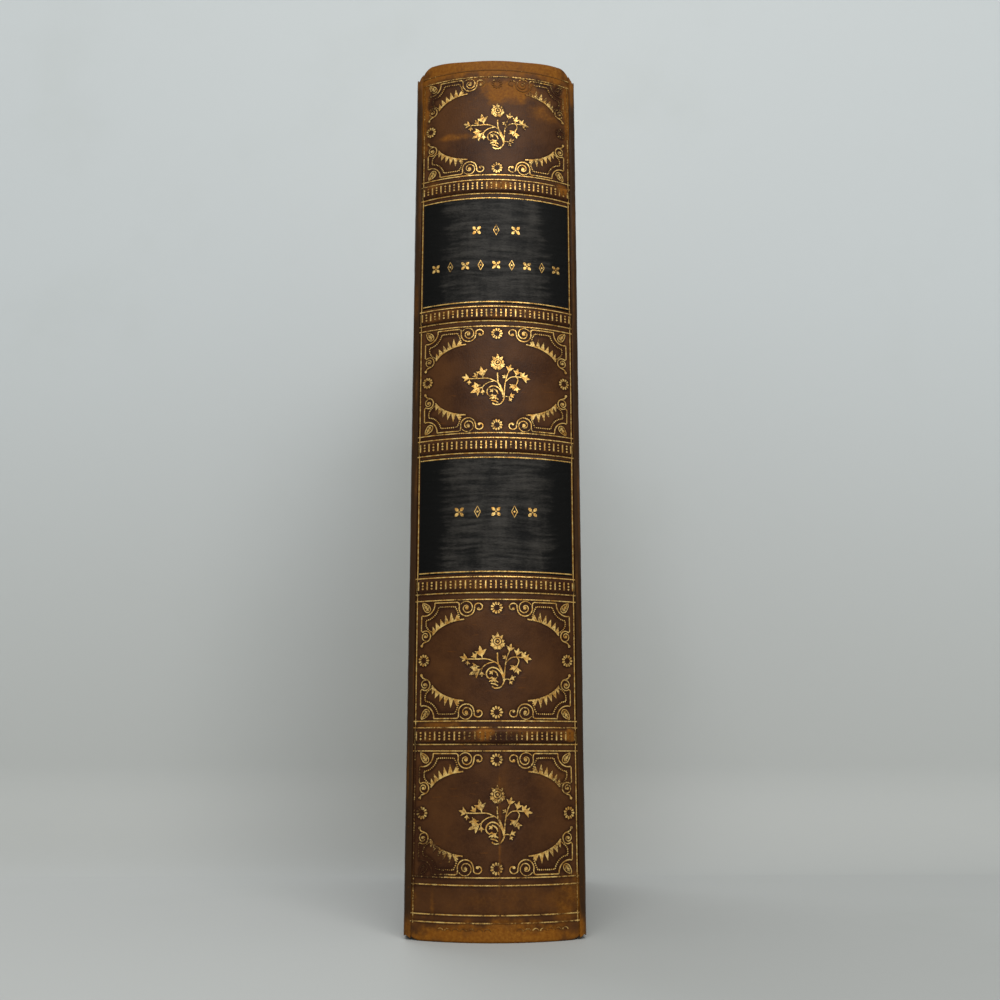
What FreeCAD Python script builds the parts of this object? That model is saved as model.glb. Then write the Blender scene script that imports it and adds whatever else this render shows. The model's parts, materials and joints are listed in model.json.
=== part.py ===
import FreeCAD, Part
import math
import os
import Sketcher

# An antique book bound in full calf, standing upright on its tail edge.
# The spine faces -Y, the fore-edge faces +Y, the front cover is on the +X side and Z is up.
# The origin is under the middle of the book, on the surface that it stands on.
# Every sub-part is drawn about the upright axis of the rounded spine, which lies inside the pages.

doc = FreeCAD.newDocument("AntiqueBook")
sheet = doc.addObject("Spreadsheet::Sheet", "Sizes")


class Size:
    """A number together with the sheet expression that gives it."""

    def __init__(self, value, text):
        self.value = value
        self.text = text

    def combined(self, other, sign, value):
        return Size(value, "(" + self.text + " " + sign + " " + other.text + ")")

    def __add__(self, other):
        other = as_size(other)
        return self.combined(other, "+", self.value + other.value)

    def __sub__(self, other):
        other = as_size(other)
        return self.combined(other, "-", self.value - other.value)

    def __mul__(self, other):
        other = as_size(other)
        return self.combined(other, "*", self.value * other.value)

    def __truediv__(self, other):
        other = as_size(other)
        return self.combined(other, "/", self.value / other.value)

    def __radd__(self, other):
        return as_size(other) + self

    def __rsub__(self, other):
        return as_size(other) - self

    def __rmul__(self, other):
        return as_size(other) * self

    def __neg__(self):
        return as_size(0) - self


def as_size(number):
    """Return a Size for a plain number, or the Size itself."""
    return number if isinstance(number, Size) else Size(float(number), repr(float(number)))


def sine(angle):
    """Return the sine of an angle in degrees."""
    return Size(math.sin(math.radians(angle.value)), "sin(" + angle.text + ")")


def cosine(angle):
    """Return the cosine of an angle in degrees."""
    return Size(math.cos(math.radians(angle.value)), "cos(" + angle.text + ")")


def angle_of_sine(ratio):
    """Return the angle in degrees that has the given sine."""
    return Size(math.degrees(math.asin(ratio.value)), "(asin(" + ratio.text + ") / 1 deg)")


def sized(alias, value, note):
    """Write one driving dimension in the sheet and return it."""
    row = str(sized.row)
    sized.row += 1
    sheet.set("A" + row, note)
    sheet.set("B" + row, str(value))
    sheet.setAlias("B" + row, alias)
    return Size(float(value), "Sizes." + alias)


sized.row = 1

# Whole book
board_height = sized("board_height", 222, "height of the covers, which is the height of the book")
book_depth = sized("book_depth", 145, "from the crest of the bands to the fore-edge")
book_thickness = sized("book_thickness", 42.2, "over the two covers")
page_square = sized("page_square", 3, "how far the covers stand out past the pages")

# Covers
calf = sized("calf", 0.7, "thickness of the calf")
board_thickness = sized("board_thickness", 2.5, "pasteboard")
turn_in = sized("turn_in", 0.3, "pared calf turned in on the inside of a cover")
turn_in_width = sized("turn_in_width", 15, "width of the turn-ins")
endpaper = sized("endpaper", 0.2, "thickness of a pasted or free endpaper")
cover_gap = sized("cover_gap", 0.3, "between the pasted and the free endpaper")
joint_gap = sized("joint_gap", 0.3, "between a cover and the shoulder of the pages")
corner_radius = sized("corner_radius", 1.6, "worn corners of a cover")
edge_wear = sized("edge_wear", 0.5, "bevel of the worn outer edges of a cover")

# Rounded spine
spine_radius = sized("spine_radius", 37.5, "outside of the calf between the bands")
hollow_paper = sized("hollow_paper", 0.4, "paper hollow under the calf")
mull_cloth = sized("mull_cloth", 0.4, "cloth glued to the back of the pages")
fore_edge_radius = sized("fore_edge_radius", 31, "hollow of the fore-edge")
cap_lip = sized("cap_lip", 3.0, "how far a cap reaches in over its endband")
cap_thickness = sized("cap_thickness", 0.9, "calf of a cap, turned over double")
cap_turn_in = sized("cap_turn_in", 15, "calf turned in under the spine at the head and the tail")
joint_to_cap = sized("joint_to_cap", 5.69, "degrees from a joint edge to the lip of a cap")
rim_wear = sized("rim_wear", 0.8, "worn rim of a cap")

rim_slope = as_size(1 - math.sqrt(0.5))

# Low bands
band_height = sized("band_height", 0.7, "how far a band stands out")
band_crest = sized("band_crest", 2.7, "width of a band at its crest")
band_foot = sized("band_foot", 3.6, "width of a band at its foot")
joint_to_band = sized("joint_to_band", 3.49, "degrees from a joint edge to the end of a band")
strip_width = sized("strip_width", 2.3, "card strip under a band")
strip_thickness = sized("strip_thickness", 0.6, "card strip under a band")
strip_play = sized("strip_play", 0.5, "degrees by which a card strip stops short of its bed")
tail_band = sized("tail_band", 46.05, "height of the lowest band")
fourth_band = sized("fourth_band", 81.8, "height of the fourth band")
third_band = sized("third_band", 116.5, "height of the middle band")
second_band = sized("second_band", 150.95, "height of the second band")
head_band = sized("head_band", 185.9, "height of the highest band")
band_levels = [tail_band, fourth_band, third_band, second_band, head_band]

# Sewing cords
cord_diameter = sized("cord_diameter", 1.3, "hemp sewing cord")
kerf_play = sized("kerf_play", 0.05, "room round a cord in its saw kerf")
joint_to_kerf = sized("joint_to_kerf", 4.69, "degrees from a joint edge to the end of a saw kerf")
cord_play = sized("cord_play", 0.5, "degrees by which a cord stops short of its kerf")

# Endbands
endband_core = sized("endband_core", 1.4, "cord inside an endband")
endband_silk = sized("endband_silk", 2.1, "endband over its winding of silk")
joint_to_endband = sized("joint_to_endband", 5.69, "degrees from a joint edge to the end of an endband")
endband_setback = sized("endband_setback", 0.1, "from the back of the pages to the endband")

# Labels
label_leather = sized("label_leather", 0.25, "pared leather of a label")
joint_to_label = sized("joint_to_label", 3.79, "degrees from a joint edge to the side of a label")
upper_label_foot = sized("upper_label_foot", 153.6, "lower edge of the upper label")
upper_label_rise = sized("upper_label_rise", 29.4, "height of the upper label")
lower_label_foot = sized("lower_label_foot", 84.5, "lower edge of the lower label")
lower_label_rise = sized("lower_label_rise", 29.3, "height of the lower label")
label_spans = {
    "upper_label": (upper_label_foot, upper_label_rise),
    "lower_label": (lower_label_foot, lower_label_rise),
}

# Gold leaf
gold = sized("gold", 0.05, "thickness of the gilding")
fillet_width = sized("fillet_width", 0.35, "width of a gilt line")
joint_to_cross_line = sized("joint_to_cross_line", 3.39, "degrees from a joint edge to a cross line")
joint_to_inner_line = sized("joint_to_inner_line", 3.19, "degrees from a joint edge to the inner line")
joint_to_outer_line = sized("joint_to_outer_line", 1.69, "degrees from a joint edge to the outer line")
side_line_angle = sized("side_line_angle", 0.5, "degrees of the back that an upright line covers")
side_line_foot = sized("side_line_foot", 3.8, "lower end of the upright lines")
side_line_rise = sized("side_line_rise", 214, "length of the upright lines")
bar_height = sized("bar_height", 1.9, "gilt bar on a band")
bar_width = sized("bar_width", 0.5, "width of a gilt bar")
bar_pitch = sized("bar_pitch", 3.7, "degrees from one gilt bar to the next")
bar_count = sized("bar_count", 17, "gilt bars on a band")
lowest_line = sized("lowest_line", 4.3, "lower line of the tail")
tail_line = sized("tail_line", 6.0, "upper line of the tail")
tail_strip_line = sized("tail_strip_line", 12.5, "line at the head of the tail strip")
tail_panel_foot = sized("tail_panel_foot", 14.2, "lower line of the tail panel")
tail_panel_rise = sized("tail_panel_rise", 28.4, "height of the tail panel")
third_panel_foot = sized("third_panel_foot", 49.5, "lower line of the third panel")
third_panel_rise = sized("third_panel_rise", 28.7, "height of the third panel")
second_panel_foot = sized("second_panel_foot", 119.7, "lower line of the second panel")
second_panel_rise = sized("second_panel_rise", 27.9, "height of the second panel")
head_panel_foot = sized("head_panel_foot", 189.2, "lower line of the head panel")
head_panel_rise = sized("head_panel_rise", 28.3, "height of the head panel")
panels = [
    (tail_panel_foot, tail_panel_foot + tail_panel_rise),
    (third_panel_foot, third_panel_foot + third_panel_rise),
    (second_panel_foot, second_panel_foot + second_panel_rise),
    (head_panel_foot, head_panel_foot + head_panel_rise),
]
band_line_reach = sized("band_line_reach", 2.0, "from the middle of a band to the line beside it")
label_line_inset = sized("label_line_inset", 0.6, "from the edge of a label to its gilt line")
rosette_radius = sized("rosette_radius", 1.45, "small round tool in the middle of each side of a panel")
rosette_inset = sized("rosette_inset", 2.0, "from the line round a panel to the middle of a rosette")
corner_tool = sized("corner_tool", 1, "size of the corner tool against its drawing")
spray_tool = sized("spray_tool", 1, "size of the flower tool against its drawing")

# The corner tool, each form about its own middle: a leaf, a scroll and three flames.
# A form's place is counted from the corner of its panel, sideways and towards the middle.
corner_leaf = [(1.1, 1.1), (-0.3, 0.7), (-1.1, -0.6), (-0.4, -1.2), (0.7, -0.4)]
corner_scroll = [(1.7, 0), (0.85, 1.47), (-0.85, 1.47), (-1.7, 0), (-0.85, -1.47), (0.85, -1.47)]
corner_flame = [(0.3, 1.1), (-1.3, -0.7), (1.1, -1.1)]
corner_forms = [
    ("leaf", corner_leaf, 2.6, 1.6),
    ("scroll", corner_scroll, 12.95, 2.05),
    ("first_flame", corner_flame, 9.8, 4.0),
    ("second_flame", corner_flame, 7.4, 4.9),
    ("third_flame", corner_flame, 5.4, 6.5),
]

# The flower tool about the middle of its panel: a bloom on a curled stem, and leaves to both sides.
spray_bloom = [(0, 6.7), (-1.6, 5.2), (-0.5, 2.4), (0.9, -2.4), (1.2, -4.6), (-1.4, -6.5), (2.2, -6.3),
               (2.4, -3.0), (0.7, 2.4), (1.7, 5.2)]
spray_leaf = [(1.6, 0), (0, 1.1), (-1.6, 0), (0, -1.1)]
spray_leaf_places = [("upper_leaves", 3.8, 2.6), ("lower_leaves", 4.2, -2.7), ("outer_leaves", 7.2, 0.5)]

doc.recompute()

# Places worked out from the driving dimensions, about the axis of the spine.
axis_depth = spine_radius + band_height + gold - book_depth / 2
fore_edge = book_depth / 2 - axis_depth
cover_face = book_thickness / 2
board_outside = cover_face - calf
board_inside = board_outside - board_thickness
cover_inside = board_inside - turn_in
pasted_inside = cover_inside - endpaper
flyleaf_outside = pasted_inside - cover_gap
page_side = flyleaf_outside - endpaper
leather_inside = spine_radius - calf
mull_outside = leather_inside - hollow_paper
back_radius = mull_outside - mull_cloth
spine_half_angle = angle_of_sine((cover_face - joint_gap) / spine_radius)
cap_half_angle = spine_half_angle - joint_to_cap
band_half_angle = spine_half_angle - joint_to_band
kerf_half_angle = spine_half_angle - joint_to_kerf
endband_half_angle = spine_half_angle - joint_to_endband
label_half_angle = spine_half_angle - joint_to_label
cross_half_angle = spine_half_angle - joint_to_cross_line
side_inner_angle = spine_half_angle - joint_to_inner_line
side_outer_angle = spine_half_angle - joint_to_outer_line
panel_half_arc = spine_radius * side_inner_angle / math.degrees(1)
shoulder_line = -(back_radius * cosine(spine_half_angle))
cover_joint = shoulder_line + joint_gap
page_foot = page_square
page_rise = board_height - 2 * page_square
page_top = page_foot + page_rise
page_front = fore_edge - page_square
crest_radius = spine_radius + band_height
endband_radius = back_radius - endband_setback - endband_silk / 2


def new_body(name):
    """Start a sub-part whose own Z axis is the axis of the spine."""
    body = doc.addObject("PartDesign::Body", name)
    body.Label = name
    body.setExpression("Placement.Base.y", axis_depth.text)
    return body


def new_sketch(body, name, role, offset=None):
    """Start a sketch on one of the body's own planes, moved along its normal where asked."""
    sketch = body.newObject("Sketcher::SketchObject", name)
    plane = [item for item in body.Origin.OriginFeatures if item.Role == role][0]
    sketch.AttachmentSupport = [(plane, "")]
    sketch.MapMode = "FlatFace"
    if offset is not None:
        sketch.setExpression("AttachmentOffset.Base.z", offset.text)
    return sketch


def hold(sketch, wanted):
    """Add constraints to a sketch and bind those that have a size to the sheet."""
    start = sketch.ConstraintCount
    sketch.addConstraint([constraint for constraint, size in wanted])
    for number, (constraint, size) in enumerate(wanted):
        if size is not None:
            sketch.setExpression("Constraints[" + str(start + number) + "]", size.text)


def pinned_point(element, position, point):
    """Return what holds one point of a sketch at the two distances that the sheet gives."""
    return [(Sketcher.Constraint(kind, -1, 1, element, position, distance.value), distance)
            for kind, distance in zip(("DistanceX", "DistanceY"), point)]


def draw_outline(sketch, corners):
    """Draw a closed outline through corners (x, y), or (x, y, radius, turn) where an arc starts.

    turn is 1 for an arc that runs anticlockwise from its corner to the next and -1 for the other way.
    """
    places = [(as_size(corner[0]), as_size(corner[1])) for corner in corners]
    elements = []
    wanted = []
    for index, corner in enumerate(corners):
        start = places[index]
        end = places[(index + 1) % len(corners)]
        first = FreeCAD.Vector(start[0].value, start[1].value, 0)
        last = FreeCAD.Vector(end[0].value, end[1].value, 0)
        if len(corner) == 2:
            element = sketch.addGeometry(Part.LineSegment(first, last), False)
            elements.append((element, 1, 2))
            continue
        radius, turn = as_size(corner[2]), corner[3]
        chord = last - first
        rise = math.sqrt(max(radius.value ** 2 - (chord.Length / 2) ** 2, 0))
        normal = FreeCAD.Vector(-chord.y, chord.x, 0).normalize()
        centre = (first + last) * 0.5 + normal * rise * turn
        begin, finish = (first, last) if turn > 0 else (last, first)
        angles = [math.atan2(end_point.y - centre.y, end_point.x - centre.x)
                  for end_point in (begin, finish)]
        circle = Part.Circle(centre, FreeCAD.Vector(0, 0, 1), radius.value)
        element = sketch.addGeometry(Part.ArcOfCircle(circle, angles[0], angles[1]), False)
        elements.append((element, 1, 2) if turn > 0 else (element, 2, 1))
        wanted.append((Sketcher.Constraint("Radius", element, radius.value), radius))
    for index, (element, start_end, finish_end) in enumerate(elements):
        following = elements[(index + 1) % len(elements)]
        joined = Sketcher.Constraint("Coincident", element, finish_end, following[0], following[1])
        wanted.append((joined, None))
        wanted += pinned_point(element, start_end, places[index])
    hold(sketch, wanted)


def draw_box(sketch, low_x, low_y, high_x, high_y):
    """Draw a rectangle from its lowest to its highest corner."""
    draw_outline(sketch, [(low_x, low_y), (high_x, low_y), (high_x, high_y), (low_x, high_y)])


def draw_hexagon(sketch, x, y, radius):
    """Draw a hexagon about a point, with a flat side above and below it."""
    half = radius / 2
    reach = radius * sine(as_size(60))
    draw_outline(sketch, [(x - radius, y), (x - half, y - reach), (x + half, y - reach),
                          (x + radius, y), (x + half, y + reach), (x - half, y + reach)])


def extrude(body, sketch, kind, length, outward):
    """Pad or pocket a sketch by a length, along its normal or against it."""
    feature = body.newObject("PartDesign::" + kind, sketch.Label + "_" + kind.lower())
    feature.Profile = sketch
    feature.setExpression("Length", length.text)
    feature.Reversed = outward if kind == "Pocket" else not outward
    return feature


def turn_about_spine(body, sketch, kind, half_angle):
    """Revolve or groove a sketch about the axis of the spine, by an angle to each side."""
    feature = body.newObject("PartDesign::" + kind, sketch.Label + "_" + kind.lower())
    feature.Profile = sketch
    feature.ReferenceAxis = (sketch, ["V_Axis"])
    feature.Midplane = True
    feature.setExpression("Angle", (2 * half_angle).text)
    return feature


def ring_section(name, inner, outer, low, high, half_angle):
    """Make a sub-part that follows the back: a rectangle turned about the axis of the spine."""
    body = new_body(name)
    section = new_sketch(body, name + "_section", "YZ_Plane")
    draw_box(section, -outer, low, -inner, high)
    turn_about_spine(body, section, "Revolution", half_angle)
    return body


def repeat_both_ways(body, feature, pitch, count):
    """Repeat the middle one of a row to the right and to the left about the axis of the spine."""
    upright = [item for item in body.Origin.OriginFeatures if item.Role == "Z_Axis"][0]
    for way, backwards in (("right", False), ("left", True)):
        pattern = body.newObject("PartDesign::PolarPattern", feature.Label + "_to_the_" + way)
        pattern.Originals = [feature]
        pattern.Axis = (upright, [""])
        pattern.setExpression("Angle", (pitch * (count - 1) / 2).text)
        pattern.setExpression("Occurrences", ((count + 1) / 2).text)
        pattern.Reversed = backwards
        body.Tip = pattern


def wear_edges(body, kind, size_name, size, wanted):
    """Round or bevel the edges of the body's last shape that pass the test."""
    doc.recompute()
    sharp = body.Tip
    names = ["Edge" + str(number + 1) for number, edge in enumerate(body.Shape.Edges) if wanted(edge)]
    feature = body.newObject("PartDesign::" + kind, body.Label + "_" + kind.lower())
    feature.Base = (sharp, names)
    feature.setExpression(size_name, size.text)
    return feature


def build_text_block():
    """Pages, sewn and backed: a rounded back with shoulders, flat sides and a hollow fore-edge."""
    body = new_body("text_block")
    plan = new_sketch(body, "page_plan", "XY_Plane", page_foot)
    tip = back_radius * sine(spine_half_angle)
    draw_outline(plan, [
        (-tip, shoulder_line, back_radius, 1),
        (tip, shoulder_line),
        (page_side, shoulder_line),
        (page_side, page_front, fore_edge_radius, -1),
        (-page_side, page_front),
        (-page_side, shoulder_line),
    ])
    extrude(body, plan, "Pad", page_rise, True)
    kerfs = new_sketch(body, "kerf_section", "YZ_Plane")
    kerf_half = cord_diameter / 2 + kerf_play
    for level in band_levels:
        kerf_floor = back_radius - 2 * kerf_half
        draw_box(kerfs, -(back_radius + kerf_half), level - kerf_half, -kerf_floor, level + kerf_half)
    turn_about_spine(body, kerfs, "Groove", kerf_half_angle)
    return [body]


def build_flyleaves():
    """Free endpapers, one on each side of the pages."""
    bodies = []
    for name, side in (("front_flyleaf", 1), ("back_flyleaf", -1)):
        body = new_body(name)
        sheet_outline = new_sketch(body, name + "_outline", "YZ_Plane", side * page_side)
        draw_box(sheet_outline, shoulder_line, page_foot, page_front, page_top)
        extrude(body, sheet_outline, "Pad", endpaper, side > 0)
        bodies.append(body)
    return bodies


def build_sewing_cords():
    """Hemp cords that the pages are sewn on, sunk in the kerfs of the back."""
    bodies = []
    centre = back_radius - cord_diameter / 2 - kerf_play
    for number, level in enumerate(band_levels):
        body = new_body("sewing_cord_" + str(number + 1))
        section = new_sketch(body, body.Label + "_section", "YZ_Plane")
        half = cord_diameter / 2
        draw_box(section, -(centre + half), level - half, -(centre - half), level + half)
        turn_about_spine(body, section, "Revolution", kerf_half_angle - cord_play)
        bodies.append(body)
    return bodies


def build_spine_linings():
    """Cloth glued to the back of the pages, and the paper hollow over it."""
    mull = ring_section("mull", back_radius, mull_outside, page_foot, page_top, spine_half_angle)
    hollow = ring_section("spine_hollow", mull_outside, leather_inside,
                          cap_turn_in, board_height - cap_turn_in, spine_half_angle)
    return [mull, hollow]


def build_endbands():
    """A cord on the head and on the tail of the pages, wound with silk."""
    bodies = []
    head_level = page_top + endband_silk / 2
    tail_level = page_foot - endband_silk / 2
    for name, level in (("headband", head_level), ("tailband", tail_level)):
        core = new_body(name + "_core")
        core_section = new_sketch(core, core.Label + "_section", "YZ_Plane")
        draw_hexagon(core_section, -endband_radius, level, endband_core / 2)
        turn_about_spine(core, core_section, "Revolution", endband_half_angle)

        silk = new_body(name + "_silk")
        ground = new_sketch(silk, silk.Label + "_section", "YZ_Plane")
        draw_hexagon(ground, -endband_radius, level, endband_silk / 2)
        draw_hexagon(ground, -endband_radius, level, endband_core / 2)
        turn_about_spine(silk, ground, "Revolution", endband_half_angle)
        bodies += [core, silk]
    return bodies


def build_band_strips():
    """Card strips that lift the calf into low bands."""
    half_width = strip_width / 2
    half_angle = band_half_angle - strip_play
    return [ring_section("band_strip_" + str(number + 1), leather_inside,
                         leather_inside + strip_thickness,
                         level - half_width, level + half_width, half_angle)
            for number, level in enumerate(band_levels)]


def build_spine_leather():
    """Calf over the spine: a curved wall with a cap at each end, five low bands and two joint edges.

    The wall is turned twice, over its whole width and over the reach of the bands, so that each stretch
    between two bands is a face of its own.
    """
    body = new_body("spine_leather")
    lip_end = spine_radius - calf - cap_lip
    lip_round = cap_thickness / 2
    rim = rim_wear
    wall = new_sketch(body, "spine_section", "YZ_Plane")
    draw_outline(wall, [
        (-leather_inside, cap_turn_in),
        (-mull_outside, cap_turn_in),
        (-mull_outside, 0),
        (-(spine_radius - rim), 0),
        (-(spine_radius - rim * rim_slope), rim * rim_slope),
        (-spine_radius, rim),
        (-spine_radius, board_height - rim),
        (-(spine_radius - rim * rim_slope), board_height - rim * rim_slope),
        (-(spine_radius - rim), board_height),
        (-mull_outside, board_height),
        (-mull_outside, board_height - cap_turn_in),
        (-leather_inside, board_height - cap_turn_in),
    ])
    turn_about_spine(body, wall, "Revolution", spine_half_angle)
    turn_about_spine(body, wall, "Revolution", band_half_angle)

    lips = new_sketch(body, "cap_lips", "YZ_Plane")
    lip_root = mull_outside + lip_round
    for low in (as_size(0), board_height - cap_thickness):
        draw_outline(lips, [
            (-lip_root, low + cap_thickness),
            (-lip_root, low),
            (-(lip_end + lip_round), low),
            (-lip_end, low + lip_round),
            (-(lip_end + lip_round), low + cap_thickness),
        ])
    turn_about_spine(body, lips, "Revolution", cap_half_angle)

    beds = new_sketch(body, "strip_beds", "YZ_Plane")
    crests = new_sketch(body, "band_crests", "YZ_Plane")
    overlap = calf / 2
    for level in band_levels:
        half_bed = strip_width / 2
        draw_box(beds, -(leather_inside + strip_thickness), level - half_bed,
                 -(leather_inside - overlap), level + half_bed)
        draw_outline(crests, [
            (-spine_radius, level + band_foot / 2),
            (-crest_radius, level + band_crest / 2),
            (-crest_radius, level - band_crest / 2),
            (-spine_radius, level - band_foot / 2),
            (-(spine_radius - overlap / 5), level - band_foot / 2),
            (-(spine_radius - overlap / 5), level + band_foot / 2),
        ])
    turn_about_spine(body, crests, "Revolution", band_half_angle)
    turn_about_spine(body, beds, "Groove", band_half_angle)

    edges = new_sketch(body, "joint_edges", "XY_Plane")
    outer = spine_radius * sine(spine_half_angle)
    inner = back_radius * sine(spine_half_angle)
    start = -(spine_radius * cosine(spine_half_angle))
    for side in (1, -1):
        draw_outline(edges, [(side * inner, shoulder_line), (side * outer, start),
                             (side * outer, shoulder_line)])
    extrude(body, edges, "Pad", board_height, True)
    for feature in body.Group:
        if hasattr(feature, "Refine"):
            feature.Refine = False
    return [body]


def build_labels():
    """Two panels of thin black leather, pasted on the calf."""
    return [ring_section(name, spine_radius, spine_radius + label_leather,
                         foot, foot + rise, label_half_angle)
            for name, (foot, rise) in label_spans.items()]


def build_cross_fillets():
    """Gilt lines across the spine, beside the bands and on the labels."""
    body = new_body("gilt_cross_fillets")
    half = fillet_width / 2
    ground = new_sketch(body, "fillet_section", "YZ_Plane")
    band_lines = [level + reach for level in band_levels for reach in (band_line_reach, -band_line_reach)]
    hidden = [level for level in band_lines if lies_on_label(level)]
    panel_lines = [level for panel in panels for level in panel]
    plain_lines = [lowest_line, tail_line, tail_strip_line]
    for level in plain_lines + panel_lines + [line for line in band_lines if line not in hidden]:
        draw_box(ground, -(spine_radius + gold), level - half, -spine_radius, level + half)
    turn_about_spine(body, ground, "Revolution", cross_half_angle)
    upper = new_sketch(body, "label_line_section", "YZ_Plane")
    low_radius = spine_radius + label_leather
    for foot, rise in label_spans.values():
        for level in (foot + label_line_inset, foot + rise - label_line_inset):
            draw_box(upper, -(low_radius + gold), level - half, -low_radius, level + half)
    turn_about_spine(body, upper, "Revolution", label_half_angle)
    return [body]


def lies_on_label(level):
    """Tell whether a height on the spine is covered by a label."""
    return any(foot.value < level.value < foot.value + rise.value for foot, rise in label_spans.values())


def build_side_fillets():
    """Upright gilt lines along both sides of the spine."""
    body = new_body("gilt_side_fillets")
    plan = new_sketch(body, "side_line_plan", "XY_Plane", side_line_foot)
    outer = spine_radius + gold
    for angle in (side_inner_angle, side_outer_angle):
        far = angle + side_line_angle
        for side in (1, -1):
            near_inner = (side * (spine_radius * sine(angle)), -(spine_radius * cosine(angle)))
            near_outer = (side * (outer * sine(angle)), -(outer * cosine(angle)))
            far_outer = (side * (outer * sine(far)), -(outer * cosine(far)))
            far_inner = (side * (spine_radius * sine(far)), -(spine_radius * cosine(far)))
            draw_outline(plan, [near_inner + (spine_radius, side), far_inner,
                                far_outer + (outer, -side), near_outer])
    extrude(body, plan, "Pad", side_line_rise, True)
    return [body]


def build_band_bars():
    """Gilt bars on the crests of the bands."""
    body = new_body("gilt_band_bars")
    face = new_sketch(body, "bar_faces", "XZ_Plane", crest_radius)
    for level in band_levels:
        draw_box(face, -(bar_width / 2), level - bar_height / 2, bar_width / 2, level + bar_height / 2)
    bars = extrude(body, face, "Pad", gold, True)
    repeat_both_ways(body, bars, bar_pitch, bar_count)
    return [body]


def press_gilding(body, name, arc, forms, both_sides):
    """Press thin forms of gold on the plane that touches the spine at an arc from its middle.

    A form is an outline, its height on the spine, its scale, and -1 where it is turned upside down.
    """
    angle = as_size(arc) * math.degrees(1) / spine_radius
    face = new_sketch(body, name + "_forms", "XZ_Plane")
    upright_axis = FreeCAD.Vector(0, 1, 0)
    face.AttachmentOffset = FreeCAD.Placement(FreeCAD.Vector(), FreeCAD.Rotation(upright_axis, angle.value))
    face.setExpression("AttachmentOffset.Base.x", (spine_radius * sine(angle)).text)
    face.setExpression("AttachmentOffset.Base.z", (spine_radius * cosine(angle)).text)
    face.setExpression("AttachmentOffset.Rotation.Angle", angle.text)
    for outline, level, scale, turn in forms:
        draw_outline(face, [(scale * x, level + scale * (turn * y)) for x, y in outline])
    pressed = extrude(body, face, "Pad", gold, True)
    if both_sides:
        mirror = body.newObject("PartDesign::Mirrored", name + "_mirrored")
        mirror.Originals = [pressed]
        plane = [item for item in body.Origin.OriginFeatures if item.Role == "YZ_Plane"][0]
        mirror.MirrorPlane = (plane, [""])
        body.Tip = mirror


def build_corner_pieces():
    """Gilt corner tools, four in each panel."""
    body = new_body("gilt_corner_pieces")
    for name, outline, sideways, inwards in corner_forms:
        forms = []
        for foot, head in panels:
            forms.append((outline, head - corner_tool * inwards, corner_tool, 1))
            forms.append((outline, foot + corner_tool * inwards, corner_tool, -1))
        press_gilding(body, "corner_" + name, panel_half_arc - corner_tool * sideways, forms, True)
    return [body]


def build_rosettes():
    """Gilt rosettes, one in the middle of each side of a panel."""
    body = new_body("gilt_rosettes")
    ring = [(math.cos(math.radians(angle)), math.sin(math.radians(angle))) for angle in range(30, 390, 60)]
    levels = [(foot + head) / 2 for foot, head in panels]
    forms = [(ring, level, rosette_radius, 1) for level in levels]
    press_gilding(body, "side_rosettes", panel_half_arc - rosette_inset, forms, True)
    forms = [(ring, level, rosette_radius, 1)
             for foot, head in panels for level in (foot + rosette_inset, head - rosette_inset)]
    press_gilding(body, "middle_rosettes", 0, forms, False)
    return [body]


def build_sprays():
    """Gilt flower sprays, one in each panel."""
    body = new_body("gilt_sprays")
    levels = [(foot + head) / 2 for foot, head in panels]
    press_gilding(body, "blooms", 0, [(spray_bloom, level, spray_tool, 1) for level in levels], False)
    for name, sideways, upwards in spray_leaf_places:
        forms = [(spray_leaf, level + spray_tool * upwards, spray_tool, 1) for level in levels]
        press_gilding(body, name, spray_tool * sideways, forms, True)
    return [body]


def build_cover(name, side):
    """One cover: pasteboard in calf, with turn-ins, a levelling paper and a pasted endpaper."""
    leather = new_body(name + "_cover_leather")
    outline = new_sketch(leather, leather.Label + "_outline", "YZ_Plane", side * cover_inside)
    draw_box(outline, cover_joint, 0, fore_edge, board_height)
    extrude(leather, outline, "Pad", cover_face - cover_inside, side > 0)

    def is_corner(edge):
        box = edge.BoundBox
        return box.XLength > turn_in.value and box.YMin > 0

    def is_outer_rim(edge):
        box = edge.BoundBox
        outside = min(abs(box.XMin), abs(box.XMax)) > board_outside.value
        return outside and box.YMax > 0

    wear_edges(leather, "Fillet", "Radius", corner_radius, is_corner)
    wear_edges(leather, "Chamfer", "Size", edge_wear, is_outer_rim)

    bed = new_sketch(leather, leather.Label + "_bed", "YZ_Plane", side * board_inside)
    draw_box(bed, cover_joint - calf, calf, fore_edge - calf, board_height - calf)
    extrude(leather, bed, "Pocket", board_thickness, side > 0)
    window = new_sketch(leather, leather.Label + "_window", "YZ_Plane", side * board_inside)
    draw_box(window, cover_joint - calf, turn_in_width,
             fore_edge - turn_in_width, board_height - turn_in_width)
    extrude(leather, window, "Pocket", turn_in, side < 0)

    board = new_body(name + "_board")
    board_outline = new_sketch(board, board.Label + "_outline", "YZ_Plane", side * board_inside)
    draw_box(board_outline, cover_joint, calf, fore_edge - calf, board_height - calf)
    extrude(board, board_outline, "Pad", board_thickness, side > 0)

    infill = new_body(name + "_infill")
    infill_outline = new_sketch(infill, infill.Label + "_outline", "YZ_Plane", side * cover_inside)
    draw_box(infill_outline, cover_joint, turn_in_width,
             fore_edge - turn_in_width, board_height - turn_in_width)
    extrude(infill, infill_outline, "Pad", turn_in, side > 0)

    pasted = new_body(name + "_pastedown")
    pasted_outline = new_sketch(pasted, pasted.Label + "_outline", "YZ_Plane", side * pasted_inside)
    draw_box(pasted_outline, cover_joint, page_foot, page_front, page_top)
    extrude(pasted, pasted_outline, "Pad", endpaper, side > 0)
    return [leather, board, infill, pasted]


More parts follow.
